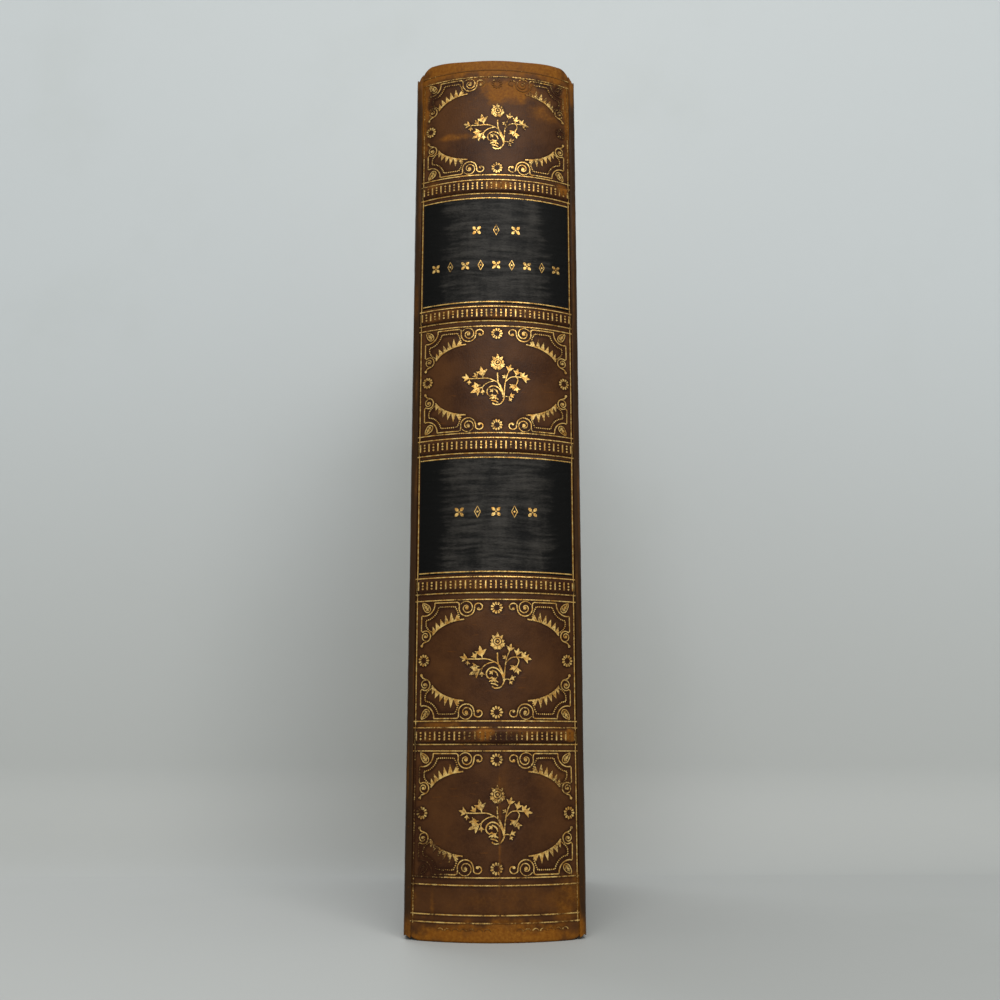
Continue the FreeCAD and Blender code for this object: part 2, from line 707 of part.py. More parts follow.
def check_and_write(pieces):
    """Stop on any failed object or bad shape, then write one file for each sub-part."""
    doc.recompute()
    for item in doc.Objects:
        if "Invalid" in item.State or "Error" in item.State:
            raise RuntimeError(item.Label + " failed to build")
    for piece in pieces:
        if piece.Shape.isNull() or not piece.Shape.isValid() or not piece.Shape.Solids:
            raise RuntimeError(piece.Label + " has no valid shape")
    os.makedirs("parts", exist_ok=True)
    for piece in pieces:
        piece.Shape.exportStep("parts/" + piece.Label + ".step")


sub_parts = (build_text_block() + build_flyleaves() + build_sewing_cords() + build_spine_linings()
             + build_endbands() + build_band_strips() + build_spine_leather() + build_labels()
             + build_cross_fillets() + build_side_fillets() + build_band_bars()
             + build_corner_pieces() + build_rosettes() + build_sprays()
             + build_cover("front", 1) + build_cover("back", -1))
check_and_write(sub_parts)
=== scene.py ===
import json
import logging
import math
from dataclasses import dataclass, field
from enum import Enum

import bpy
import numpy as np
from mathutils import Matrix, Vector


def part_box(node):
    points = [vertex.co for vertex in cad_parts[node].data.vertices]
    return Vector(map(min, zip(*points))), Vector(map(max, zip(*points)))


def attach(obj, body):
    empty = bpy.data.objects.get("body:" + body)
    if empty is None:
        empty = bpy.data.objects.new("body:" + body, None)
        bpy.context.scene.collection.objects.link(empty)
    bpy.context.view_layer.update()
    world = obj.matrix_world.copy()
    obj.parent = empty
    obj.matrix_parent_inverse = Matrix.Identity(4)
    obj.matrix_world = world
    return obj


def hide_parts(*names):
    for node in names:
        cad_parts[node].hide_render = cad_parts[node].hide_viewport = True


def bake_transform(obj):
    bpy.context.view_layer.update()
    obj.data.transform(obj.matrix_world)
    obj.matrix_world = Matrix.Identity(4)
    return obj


# An antique book in full calf, standing on its tail edge, with its gilt spine towards the camera.
# Lengths are written in millimetres and become metres when a mesh is made.

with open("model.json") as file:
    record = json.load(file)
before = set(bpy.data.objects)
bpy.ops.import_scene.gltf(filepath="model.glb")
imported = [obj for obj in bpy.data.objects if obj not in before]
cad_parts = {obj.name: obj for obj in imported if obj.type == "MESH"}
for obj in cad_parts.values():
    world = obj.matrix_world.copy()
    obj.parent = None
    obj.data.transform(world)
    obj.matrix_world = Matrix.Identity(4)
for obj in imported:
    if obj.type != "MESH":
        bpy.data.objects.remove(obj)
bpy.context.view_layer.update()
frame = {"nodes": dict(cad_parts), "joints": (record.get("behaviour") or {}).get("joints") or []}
log = logging.getLogger("antique_book")
METRES = 0.001
SEED = 1846


def srgb(red: int, green: int, blue: int) -> tuple[float, float, float, float]:
    """Turn a display colour of 0 to 255 into the linear colour that a shader takes.

    Args:
        red, green, blue: the colour as a screen shows it.

    Returns:
        The linear colour with full alpha.
    """
    def linear(channel: float) -> float:
        """Undo the display curve of one channel."""
        return channel / 12.92 if channel <= 0.04045 else ((channel + 0.055) / 1.055) ** 2.4
    return tuple(linear(channel / 255) for channel in (red, green, blue)) + (1.0,)


def box_mm(node: str) -> tuple[Vector, Vector]:
    """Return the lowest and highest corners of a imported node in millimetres."""
    low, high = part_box(node)
    return low / METRES, high / METRES


def ramp(values: np.ndarray, low: float, high: float) -> np.ndarray:
    """Rise smoothly from 0 at low to 1 at high."""
    share = np.clip((np.asarray(values, float) - low) / (high - low), 0, 1)
    return share * share * (3 - 2 * share)


class SmoothNoise:
    """Seeded value noise on a plane, between -1 and 1."""

    SIZE = 128

    def __init__(self, seed: int) -> None:
        """Draw the lattice.

        Args:
            seed: the number that fixes the pattern.
        """
        self.lattice = np.random.default_rng(seed).uniform(-1, 1, (self.SIZE, self.SIZE))

    def at(self, x: np.ndarray, y: np.ndarray, cell_x: float, cell_y: float) -> np.ndarray:
        """Read the noise at places in millimetres.

        Args:
            x, y: the places.
            cell_x, cell_y: how long one lump is in each direction.

        Returns:
            The noise values.
        """
        px, py = np.asarray(x, float) / cell_x, np.asarray(y, float) / cell_y
        ix, iy = np.floor(px).astype(int), np.floor(py).astype(int)
        fx, fy = ramp(px - ix, 0, 1), ramp(py - iy, 0, 1)

        def corner(dx: int, dy: int) -> np.ndarray:
            """Read one corner of the lattice cell."""
            return self.lattice[(ix + dx) % self.SIZE, (iy + dy) % self.SIZE]
        low = corner(0, 0) * (1 - fx) + corner(1, 0) * fx
        high = corner(0, 1) * (1 - fx) + corner(1, 1) * fx
        return low * (1 - fy) + high * fy


class Side(Enum):
    """The two covers, by the sign of their X."""

    FRONT = 1
    BACK = -1

    @property
    def label(self) -> str:
        """Return the word that starts the names of this side's nodes."""
        return self.name.lower()


@dataclass(frozen=True)
class WornPatch:
    """A place of the spine where the calf is rubbed to its tan core or where the gold is lost.

    Args:
        across, up: its middle on the flattened spine in millimetres, up from the tail.
        half_width, half_height: its half sizes in millimetres.
        strength: how much is lost in its middle, where 1 is all.
    """

    across: float
    up: float
    half_width: float
    half_height: float
    strength: float

    def loss(self, across: np.ndarray, up: np.ndarray, whole: float, gone: float,
             stray: np.ndarray | float = 0.0) -> np.ndarray:
        """Return how much this patch takes off.

        Args:
            across, up: places on the flattened spine.
            whole, gone: the shares of its half sizes where it starts to fade and where it ends.
            stray: a shift of those shares that frays its outline.

        Returns:
            The loss at each place, from 0 to the patch's strength.
        """
        reach = np.hypot((across - self.across) / self.half_width, (up - self.up) / self.half_height)
        return self.strength * (1 - ramp(reach + stray, whole, gone))


@dataclass
class SpinePlan:
    """The rounded spine laid flat: places across it and up it, and how far its surface stands out.

    Args:
        radius: of the calf between the bands.
        band_height, band_crest, band_foot: how far a band stands out, and its width above and below.
        band_end, band_taper: how far across a band reaches, and over what length it fades out.
        band_share: the share of a band's height that the calf shows.
        frame_half_width: from the middle of the spine to the frame of a panel.
        cap_flat, cap_reach, cap_fall: where the caps start to fall, over what width and how far.
        cap_crown, cap_shoulder: how far the head cap rises in its middle, and besides near its sides.
        shoulder_span: from where to where across the spine the shoulder rises.
        crown_depth, fall_depth: how far from the edge the rise and the fall of a cap start.
        tail_share: the share of a fall that the tail has.
        joint_fall: how far a joint falls at the head.
        label_clear: how far the gold of a label lies over the label's mean face.
    """

    radius: float = 37.5
    band_height: float = 0.7
    band_crest: float = 2.5
    band_foot: float = 3.9
    band_end: float = 20.6
    frame_half_width: float = 19.95
    cap_flat: float = 17.8
    cap_reach: float = 4.0
    cap_fall: float = 3.6
    cap_crown: float = 0.5
    cap_shoulder: float = 0.6
    shoulder_span: tuple = (6, 16)
    crown_depth: float = 6
    fall_depth: float = 12
    tail_share: float = 0.35
    joint_fall: float = 1.5
    band_share: float = 0.93
    band_taper: float = 1.2
    label_clear: float = 0.02
    height: float = field(init=False)
    axis_y: float = field(init=False)
    half_width: float = field(init=False)
    bands: list[float] = field(init=False)
    labels: list[tuple[float, float]] = field(init=False)
    label_half_width: float = field(init=False)
    label_lift: float = field(init=False)

    def __post_init__(self) -> None:
        """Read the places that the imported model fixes."""
        low, high = box_mm("spine_leather")
        self.height = high.z
        self.axis_y = low.y + self.radius + self.band_height
        self.half_width = self.radius * math.asin(high.x / self.radius)
        strips = [box_mm(f"band_strip_{number}") for number in range(1, 6)]
        self.bands = [(one.z + other.z) / 2 for one, other in strips]
        spans = [box_mm(name) for name in ("lower_label", "upper_label")]
        self.labels = [(one.z, other.z) for one, other in spans]
        self.label_lift = self.axis_y - self.radius - spans[0][0].y
        reach = spans[0][1].x / (self.radius + self.label_lift)
        self.label_half_width = self.radius * math.asin(reach)
        self.noise = SmoothNoise(SEED)

    def lift(self, across: np.ndarray, up: np.ndarray) -> np.ndarray:
        """Return how far the calf stands out from the plain curve of the spine.

        Args:
            across, up: places on the flattened spine.

        Returns:
            The lift in millimetres: the moulded bands and the slight waves of old leather.
        """
        across, up = np.broadcast_arrays(np.asarray(across, float), np.asarray(up, float))
        total = np.zeros(across.shape)
        side = 1 - ramp(np.abs(across), self.band_end - self.band_taper, self.band_end)
        for level in self.bands:
            rise = 1 - ramp(np.abs(up - level), self.band_crest / 2, self.band_foot / 2)
            total += self.band_height * self.band_share * rise * side
        total += 0.05 * self.noise.at(across, up, 9, 14) + 0.02 * self.noise.at(across + 40, up, 3, 4)
        return total

    def corner_drop(self, across: np.ndarray) -> np.ndarray:
        """Return how far the caps fall away towards the joints."""
        return self.cap_fall * np.clip((np.abs(across) - self.cap_flat) / self.cap_reach, 0, 1) ** 2

    def ground(self, across: np.ndarray, up: np.ndarray) -> np.ndarray:
        """Return the lift of what shows, which is a label's face where a label is pasted.

        Args:
            across, up: places on the flattened spine.

        Returns:
            The lift in millimetres.
        """
        base = self.lift(across, up)
        for low, high in self.labels:
            inside = (np.asarray(up) > low) & (np.asarray(up) < high)
            inside = inside & (np.abs(across) < self.label_half_width)
            base = np.where(inside, self.label_lift + self.label_clear, base)
        return base

    def place(self, across: np.ndarray, up: np.ndarray, lift: np.ndarray) -> np.ndarray:
        """Wrap places of the flattened spine on its curve.

        Args:
            across, up, lift: places in millimetres.

        Returns:
            One row of x, y, z in millimetres for each place.
        """
        across, up, lift = np.broadcast_arrays(np.asarray(across, float), np.asarray(up, float),
                                               np.asarray(lift, float))
        angle = across / self.radius
        reach = self.radius + lift
        return np.stack([reach * np.sin(angle), self.axis_y - reach * np.cos(angle), up], -1)


def carry(mesh: bpy.types.Mesh, name: str, values: np.ndarray) -> None:
    """Store what each point of a mesh carries for its finish.

    Args:
        mesh: the mesh.
        name: what the finish calls it.
        values: one number or one place for each point.
    """
    values = np.asarray(values, np.float32).ravel()
    is_place = len(values) == 3 * len(mesh.vertices)
    layer = mesh.attributes.new(name, "FLOAT_VECTOR" if is_place else "FLOAT", "POINT")
    layer.data.foreach_set("vector" if is_place else "value", values)


def make_piece(name: str, points: np.ndarray, faces: list, finish: "Finish", body: str | None,
               flat: np.ndarray | None = None, marks: dict[str, np.ndarray] | None = None,
               sharp: float = 40) -> bpy.types.Object:
    """Make one piece from points and faces, dress it and let it ride on its body.

    Args:
        name: the piece's name.
        points: its points in millimetres.
        faces: its faces, as lists or rows of point numbers.
        finish: the finish that it gets.
        body: the body that it rides on, or None for a piece that rides on none.
        flat: where each point lies on the flattened surface, for the finish to follow.
        marks: further values for each point that the finish reads.
        sharp: the angle in degrees from which an edge stays sharp.

    Returns:
        The new object.
    """
    mesh = bpy.data.meshes.new(name)
    mesh.from_pydata((np.asarray(points, float) * METRES).tolist(), [], [list(face) for face in faces])
    mesh.validate()
    mesh.update()
    mesh.shade_smooth()
    mesh.set_sharp_from_angle(angle=math.radians(sharp))
    carry(mesh, "flat", points if flat is None else flat)
    for mark, values in (marks or {}).items():
        carry(mesh, mark, values)
    piece = bpy.data.objects.new(name, mesh)
    bpy.context.scene.collection.objects.link(piece)
    mesh.materials.append(finish.material())
    if body is not None:
        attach(piece, body)
    log.info("%s: %d points, %d faces", name, len(mesh.vertices), len(mesh.polygons))
    return piece


def grid_faces(rows: int, columns: int, wrap_rows: bool = False, wrap_columns: bool = False) -> np.ndarray:
    """Return the four-sided faces of a grid of points.

    Args:
        rows, columns: the size of the grid, which is numbered row by row.
        wrap_rows: whether the last row joins the first.
        wrap_columns: whether the last column joins the first.

    Returns:
        One row of four point numbers for each face.
    """
    row = np.arange(rows if wrap_rows else rows - 1)[:, None]
    column = np.arange(columns if wrap_columns else columns - 1)[None, :]
    next_row, next_column = (row + 1) % rows, (column + 1) % columns
    quads = [row * columns + column, row * columns + next_column,
             next_row * columns + next_column, next_row * columns + column]
    return np.stack(np.broadcast_arrays(*quads), -1).reshape(-1, 4)


def sheet_faces(rows: int, columns: int) -> list[list[int]]:
    """Return the faces of a thin closed sheet: a grid of points, a second grid under it and the rim.

    Args:
        rows, columns: the size of each grid; the second one is numbered on from the first.

    Returns:
        One list of point numbers for each face.
    """
    skin = grid_faces(rows, columns)
    count = rows * columns
    faces = skin.tolist() + (skin[:, ::-1] + count).tolist()
    rim = ([(row, 0) for row in range(rows)] + [(rows - 1, column) for column in range(1, columns)]
           + [(row, columns - 1) for row in range(rows - 2, -1, -1)]
           + [(0, column) for column in range(columns - 2, 0, -1)])
    loop = [row * columns + column for row, column in rim]
    return faces + [[other, one, one + count, other + count] for one, other in zip(loop, loop[1:] + loop[:1])]


def tube_faces(sections: int, ring: int, turned: bool = False) -> list[list[int]]:
    """Return the faces of a tube through closed sections, with a face over each end.

    Args:
        sections: how many sections there are.
        ring: how many points a section has.
        turned: whether the side faces are numbered the other way round.

    Returns:
        One list of point numbers for each face.
    """
    sides = grid_faces(sections, ring, False, True)
    last = sections * ring - 1
    return ((sides[:, ::-1] if turned else sides).tolist()
            + [list(range(ring)), list(range(last, last - ring, -1))])


class Value:
    """A shader number that adds Math nodes when it is used in an expression."""

    def __init__(self, sheet: "NodeSheet", socket: bpy.types.NodeSocket) -> None:
        """Hold a socket of a sheet of nodes."""
        self.sheet, self.socket = sheet, socket

    def math(self, operation: str, *terms: "Value | float") -> "Value":
        """Add a Math node whose inputs are the given terms."""
        return self.sheet.add("ShaderNodeMath", {"operation": operation}, dict(enumerate(terms)))

    def __add__(self, other: "Value | float") -> "Value":
        """Return the sum."""
        return self.math("ADD", self, other)

    def __sub__(self, other: "Value | float") -> "Value":
        """Return the difference."""
        return self.math("SUBTRACT", self, other)

    def __mul__(self, other: "Value | float") -> "Value":
        """Return the product."""
        return self.math("MULTIPLY", self, other)

    def __rsub__(self, other: float) -> "Value":
        """Return a number less this value."""
        return self.math("SUBTRACT", other, self)

    __radd__ = __add__
    __rmul__ = __mul__

    def smooth(self, low: float, high: float, start: float = 0.0, end: float = 1.0) -> "Value":
        """Go smoothly from start to end while this value goes from low to high."""
        return self.sheet.add("ShaderNodeMapRange", {"interpolation_type": "SMOOTHSTEP"},
                              {0: self, 1: low, 2: high, 3: start, 4: end})


class NodeSheet:
    """The nodes of one material."""

    def __init__(self, material: bpy.types.Material) -> None:
        """Clear the material's nodes.

        Args:
            material: the material that the nodes belong to.
        """
        material.use_nodes = True
        self.tree = material.node_tree
        self.tree.nodes.clear()

    def add(self, kind: str, settings: dict | None = None, inputs: dict | None = None,
            output: int | str = 0) -> Value:
        """Add one node.

        Args:
            kind: the node's type.
            settings: its properties, set first; a ramp's stops are given as "stops".
            inputs: values or links for its sockets, by name or number.
            output: the output that the returned value holds.

        Returns:
            That output.
        """
        node = self.tree.nodes.new(kind)
        for key, value in (settings or {}).items():
            if key == "stops":
                self.set_stops(node, value)
            else:
                setattr(node, key, value)
        for key, value in (inputs or {}).items():
            if isinstance(value, Value):
                self.tree.links.new(value.socket, node.inputs[key])
            else:
                node.inputs[key].default_value = value
        return Value(self, node.outputs[output] if len(node.outputs) else None)

    @staticmethod
    def set_stops(node: bpy.types.Node, stops: list[tuple[float, tuple]]) -> None:
        """Give a colour ramp its stops.

        Args:
            node: the ramp.
            stops: the place and the colour of each stop, from the first to the last.
        """
        elements = node.color_ramp.elements
        while len(elements) < len(stops):
            elements.new(1.0)
        for element, (place, colour) in zip(elements, stops):
            element.position, element.color = place, colour

    def mark(self, name: str) -> Value:
        """Read a number that each point of the mesh carries."""
        return self.add("ShaderNodeAttribute", {"attribute_name": name}, None, "Fac")

    def flat(self, scale: tuple[float, float, float] = (1.0, 1.0, 1.0)) -> Value:
        """Read the place on the flattened surface in millimetres, stretched by a scale."""
        where = self.add("ShaderNodeAttribute", {"attribute_name": "flat"}, None, "Vector")
        return self.add("ShaderNodeVectorMath", {"operation": "MULTIPLY"}, {0: where, 1: scale})

    def noise(self, where: Value, scale: float, detail: float = 3.0, rough: float = 0.5) -> Value:
        """Add a cloud of noise with lumps of about one over scale."""
        return self.add("ShaderNodeTexNoise", None, {"Vector": where, "Scale": scale, "Detail": detail,
                                                     "Roughness": rough})

    def mix(self, share: Value | float, low: Value | tuple, high: Value | tuple, blend: str = "MIX") -> Value:
        """Mix two colours."""
        return self.add("ShaderNodeMix", {"data_type": "RGBA", "blend_type": blend},
                        {0: share, 6: low, 7: high}, 2)

    def bump(self, height: Value, distance: float, strength: float = 1.0,
             below: Value | None = None) -> Value:
        """Turn a height into a normal.

        Args:
            height: the height, from 0 to 1.
            distance: how high 1 is, in millimetres.
            strength: how strongly it shows.
            below: a coarser normal that this one lies on.

        Returns:
            The normal.
        """
        inputs = {"Height": height, "Distance": distance * METRES, "Strength": strength}
        if below is not None:
            inputs["Normal"] = below
        return self.add("ShaderNodeBump", None, inputs)

    def finish(self, inputs: dict) -> None:
        """Add the shader and the output."""
        shader = self.add("ShaderNodeBsdfPrincipled", None, inputs)
        self.add("ShaderNodeOutputMaterial", None, {"Surface": shader})


@dataclass(frozen=True)
class Finish:
    """A procedural finish, made into a material once."""

    name: str

    def material(self) -> bpy.types.Material:
        """Make the finish's material, or find it where it is made already.

        Returns:
            The material.
        """
        made = bpy.data.materials.get(self.name)
        if made is None:
            made = bpy.data.materials.new(self.name)
            self.paint(NodeSheet(made))
        return made

    def paint(self, sheet: NodeSheet) -> None:
        """Build the finish's nodes."""
        raise NotImplementedError


@dataclass(frozen=True)
class Calf(Finish):
    """Polished brown calf: mottled, tan where it is rubbed, with painted shade round the tooling and at the
    joints.
    """

    dark: tuple = srgb(50, 27, 11)
    middle: tuple = srgb(76, 46, 21)
    # Painted shade of the tool impressions, laid round the gold and along the pressed rules.
    tooled: tuple = srgb(42, 19, 6)
    tan: tuple = srgb(112, 64, 8)
    pale: tuple = srgb(140, 90, 24)
    # Painted shade where the calf turns away into the joints and lies in their crease.
    joint: tuple = srgb(46, 31, 16)

    def paint(self, sheet: NodeSheet) -> None:
        """Build the calf's nodes.

        Args:
            sheet: the sheet that takes the nodes.
        """
        where = sheet.flat()
        clouds = sheet.noise(where, 0.09, 4, 0.6)
        speckle = sheet.noise(where, 1.3, 4, 0.65)
        fibre = sheet.noise(sheet.flat((1.0, 0.25, 1.0)), 2.2, 3, 0.6)
        colour = sheet.mix(clouds.smooth(0.3, 0.72), self.dark, self.middle)
        colour = sheet.mix(speckle.smooth(0.35, 0.75, 0.0, 0.35), colour, self.middle)
        # Painted shade at the joints.
        colour = sheet.mix(sheet.mark("joint") * 0.8, colour, self.joint)
        # Painted shade: darker round the tooling, in place of the shade in its impressions.
        colour = sheet.mix(sheet.mark("tooled").smooth(0.1, 1.0, 0.0, 0.85), colour, self.tooled)
        broken = sheet.noise(where, 0.4, 6, 0.65).smooth(0.3, 0.7)
        worn = (sheet.mark("worn") * (broken * 0.5 + 0.65)).smooth(0.02, 1.05)
        tan = sheet.mix(speckle.smooth(0.3, 0.75), self.tan, self.pale)
        tan = sheet.mix(clouds.smooth(0.35, 0.7, 0.0, 0.5), tan, self.tan)
        colour = sheet.mix(worn * 0.9, colour, tan)
        scratches = sheet.noise(sheet.flat((0.5, 3.2, 1.0)), 0.5, 2, 0.5).smooth(0.66, 0.72, 0.0, 0.22)
        colour = sheet.mix(scratches, colour, self.tan)
        pores = sheet.add("ShaderNodeTexVoronoi", {"feature": "F1"}, {"Vector": where, "Scale": 2.6})
        normal = sheet.bump(pores, 0.06, 0.35)
        normal = sheet.bump(fibre, 0.10, 0.35, normal)
        sheet.finish({"Base Color": colour, "Roughness": speckle * 0.22 + worn * 0.14 + 0.34,
                      "Normal": normal, "Specular IOR Level": 0.1})


@dataclass(frozen=True)
class GoldLeaf(Finish):
    """Gold leaf pressed into leather, thin and rubbed through in places."""

    bright: tuple = srgb(238, 202, 124)
    deep: tuple = srgb(184, 132, 58)
    under: tuple = srgb(52, 28, 10)
    bare: tuple = srgb(92, 55, 14)
    loss: float = 0.46

    def paint(self, sheet: NodeSheet) -> None:
        """Build the gold's nodes.

        Args:
            sheet: the sheet that takes the nodes.
        """
        where = sheet.flat()
        cloud = sheet.noise(where, 0.22, 3, 0.6)
        grain = sheet.noise(where, 2.4, 4, 0.7)
        lost = (grain * 0.75 + cloud * 0.5 + sheet.mark("faded") * 0.35).smooth(
            self.loss + 0.1, self.loss + 0.36)
        tone = sheet.mix(sheet.noise(where, 0.8, 3, 0.6).smooth(0.3, 0.7), self.deep, self.bright)
        ground = sheet.mix(sheet.mark("worn").smooth(0.2, 0.9), self.under, self.bare)
        colour = sheet.mix(lost, tone, ground)
        sheet.finish({"Base Color": colour, "Metallic": (1 - lost) * 0.6,
                      "Roughness": grain * 0.2 + lost * 0.25 + 0.28, "Specular IOR Level": 0.12,
                      "Normal": sheet.bump(grain, 0.05, 0.4)})


@dataclass(frozen=True)
class LabelLeather(Finish):
    """Black straight-grain leather, paler on its rubbed ridges and in streaks, partly rubbed grain and partly
    painted sheen, with painted shade towards its sides.
    """

    black: tuple = srgb(8, 8, 7)
    grey: tuple = srgb(62, 59, 55)

    def paint(self, sheet: NodeSheet) -> None:
        """Build the label's nodes.

        Args:
            sheet: the sheet that takes the nodes.
        """
        streaks = sheet.noise(sheet.flat((0.7, 2.6, 1.0)), 2.0, 5, 0.7)
        clouds = sheet.noise(sheet.flat((1.6, 0.5, 1.0)), 0.16, 3, 0.6)
        # Painted sheen and shade: the paler streaks are partly rubbed grain and partly painted sheen, and the
        # edge mark takes them away towards the sides as painted shade.
        rubbed = (streaks * 0.9 + sheet.mark("ridge") * 0.55 + clouds * 0.6 - sheet.mark("edge") * 0.6)
        share = rubbed.smooth(0.74, 1.42)
        pores = sheet.noise(sheet.flat(), 3.2, 3, 0.6)
        sheet.finish({"Base Color": sheet.mix(share * 0.75, self.black, self.grey),
                      "Roughness": 0.48 - share * 0.1, "Specular IOR Level": 0.09,
                      "Normal": sheet.bump(pores, 0.05, 0.5, sheet.bump(streaks, 0.12, 0.6))})


@dataclass(frozen=True)
class Paper(Finish):
    """Aged paper, light and browner in clouds, with a few spots."""

    light: tuple = srgb(222, 204, 168)
    dark: tuple = srgb(178, 146, 98)
    stretch: tuple = (1.0, 1.0, 1.0)
    scale: float = 1.2
    spots: float = 0.3

    def paint(self, sheet: NodeSheet) -> None:
        """Build the paper's nodes.

        Args:
            sheet: the sheet that takes the nodes.
        """
        fine = sheet.noise(sheet.flat(self.stretch), self.scale, 4, 0.6)
        clouds = sheet.noise(sheet.flat(), 0.025, 4, 0.6)
        colour = sheet.mix((fine * 0.7 + clouds * 0.5).smooth(0.35, 0.85), self.light, self.dark)
        foxing = sheet.noise(sheet.flat(), 0.35, 4, 0.6).smooth(0.66, 0.78, 0.0, self.spots)
        colour = sheet.mix(foxing, colour, srgb(138, 92, 48))
        sheet.finish({"Base Color": colour, "Roughness": fine * 0.15 + 0.78,
                      "Normal": sheet.bump(fine, 0.05, 0.5)})


@dataclass(frozen=True)
class Woven(Finish):
    """Thread, cord or cloth, with fibres along one direction."""

    light: tuple = srgb(196, 176, 132)
    dark: tuple = srgb(140, 116, 76)
    stripe: tuple = srgb(196, 176, 132)

    def paint(self, sheet: NodeSheet) -> None:
        """Build the thread's nodes.

        Args:
            sheet: the sheet that takes the nodes.
        """
        fibres = sheet.noise(sheet.flat(), 3.0, 4, 0.7)
        colour = sheet.mix(fibres.smooth(0.3, 0.7), self.dark, self.light)
        colour = sheet.mix(sheet.mark("stripe") * 0.9, colour, self.stripe)
        sheet.finish({"Base Color": colour, "Roughness": fibres * 0.2 + 0.55,
                      "Normal": sheet.bump(fibres, 0.06, 0.6)})


@dataclass(frozen=True)
class Backdrop(Finish):
    """The pale board that the book stands on and before, painted duller towards its foot as shade; it doesn't
    stand between the book and its light.
    """

    # Painted shade: the board goes from the paler top down to the duller foot.
    top: tuple = srgb(188, 194, 196)
    foot: tuple = srgb(174, 177, 175)

    def paint(self, sheet: NodeSheet) -> None:
        """Build the board's nodes.

        Args:
            sheet: the sheet that takes the nodes.
        """
        height = sheet.add("ShaderNodeSeparateXYZ", None, {0: sheet.flat()}, 2)
        stains = sheet.noise(sheet.flat(), 0.012, 5, 0.6)
        # Painted shade: duller low down, paler up the wall.
        colour = sheet.mix(height.smooth(0, 260), self.foot, self.top)
        colour = sheet.mix(stains.smooth(0.5, 0.8, 0.0, 0.10), colour, srgb(150, 156, 146))
        board = sheet.add("ShaderNodeBsdfPrincipled", None, {"Base Color": colour, "Roughness": 0.75})
        clear = sheet.add("ShaderNodeBsdfTransparent")
        seen = sum((sheet.add("ShaderNodeLightPath", None, None, ray) for ray in
                    ("Is Camera Ray", "Is Glossy Ray", "Is Transmission Ray")), 0.0)
        behind = sheet.add("ShaderNodeNewGeometry", None, None, "Backfacing")
        wall = sheet.mark("wall")
        share = 1 - wall * (1 - seen * (1 - behind))
        shader = sheet.add("ShaderNodeMixShader", None, {0: share, 1: clear, 2: board})
        sheet.add("ShaderNodeOutputMaterial", None, {"Surface": shader})


CALF = Calf("brown_calf_finish")
GOLD = GoldLeaf("gold_leaf_finish")
LABEL = LabelLeather("label_leather_finish")
PAGES = Paper("page_edge_finish", srgb(218, 200, 164), srgb(184, 158, 114), (1.0, 0.16, 0.16), 0.9, 0.15)
ENDPAPER = Paper("endpaper_finish", srgb(216, 200, 166), srgb(196, 174, 132), (1.0, 1.0, 1.0), 1.2, 0.35)
LINING = Paper("lining_paper_finish", srgb(150, 124, 88), srgb(112, 88, 58), (1.0, 0.2, 1.0), 1.6, 0.2)
CARD = Paper("card_finish", srgb(140, 112, 78), srgb(98, 76, 50), (1.0, 0.3, 1.0), 2.0, 0.1)
PASTEBOARD = Paper("pasteboard_finish", srgb(156, 132, 100), srgb(120, 98, 70), (0.2, 1.0, 1.0), 1.4, 0.2)
MULL = Woven("mull_finish", srgb(206, 194, 164), srgb(150, 136, 104))
HEMP = Woven("hemp_finish")
SILK = Woven("silk_finish", srgb(150, 58, 42), srgb(96, 30, 24), srgb(206, 178, 122))


@dataclass
class Stroke:
    """One line of a gilding tool on the flattened spine, in millimetres."""

    points: np.ndarray
    width: float = 0.34
    taper: bool = False
    closed: bool = False


@dataclass
class Shape:
    """One filled form of a gilding tool on the flattened spine, in millimetres."""

    outline: np.ndarray


def arc(x: float, y: float, radius: float, start: float, end: float, inner: float | None = None,
        step: float = 14) -> np.ndarray:
    """Return points along an arc or a spiral.

    Args:
        x, y: its centre.
        radius: its radius at the start.
        start, end: its angles in degrees; a spiral may pass 360.
        inner: its radius at the end, where it differs.
        step: degrees from one point to the next, at most.

    Returns:
        The points.
    """
    count = max(3, int(abs(end - start) / step) + 2)
    angles = np.radians(np.linspace(start, end, count))
    reach = np.linspace(radius, radius if inner is None else inner, count)
    return np.stack([x + reach * np.cos(angles), y + reach * np.sin(angles)], -1)


def flowing(points: list[tuple[float, float]], step: float = 0.28) -> np.ndarray:
    """Return a smooth line through a few points.

    Args:
        points: the places that the line passes.
        step: the distance from one point to the next on it.

    Returns:
        The points of the line.
    """
    knots = np.asarray(points, float)
    if len(knots) < 3:
        count = max(2, int(np.linalg.norm(knots[-1] - knots[0]) / 1.5) + 2)
        return np.linspace(knots[0], knots[-1], count)
    ends = np.vstack([2 * knots[0] - knots[1], knots, 2 * knots[-1] - knots[-2]])
    line = []
    for first, start, end, last in zip(ends, ends[1:], ends[2:], ends[3:]):
        count = max(2, int(np.linalg.norm(end - start) / step))
        t = np.linspace(0, 1, count, endpoint=False)[:, None]
        line.append(0.5 * (2 * start + (end - first) * t + (2 * first - 5 * start + 4 * end - last) * t ** 2
                           + (3 * start - first - 3 * end + last) * t ** 3))
    return np.vstack(line + [knots[-1:]])


def dot(x: float, y: float, radius: float) -> Shape:
    """Return a round dot."""
    return Shape(arc(x, y, radius, 0, 315, None, 46))


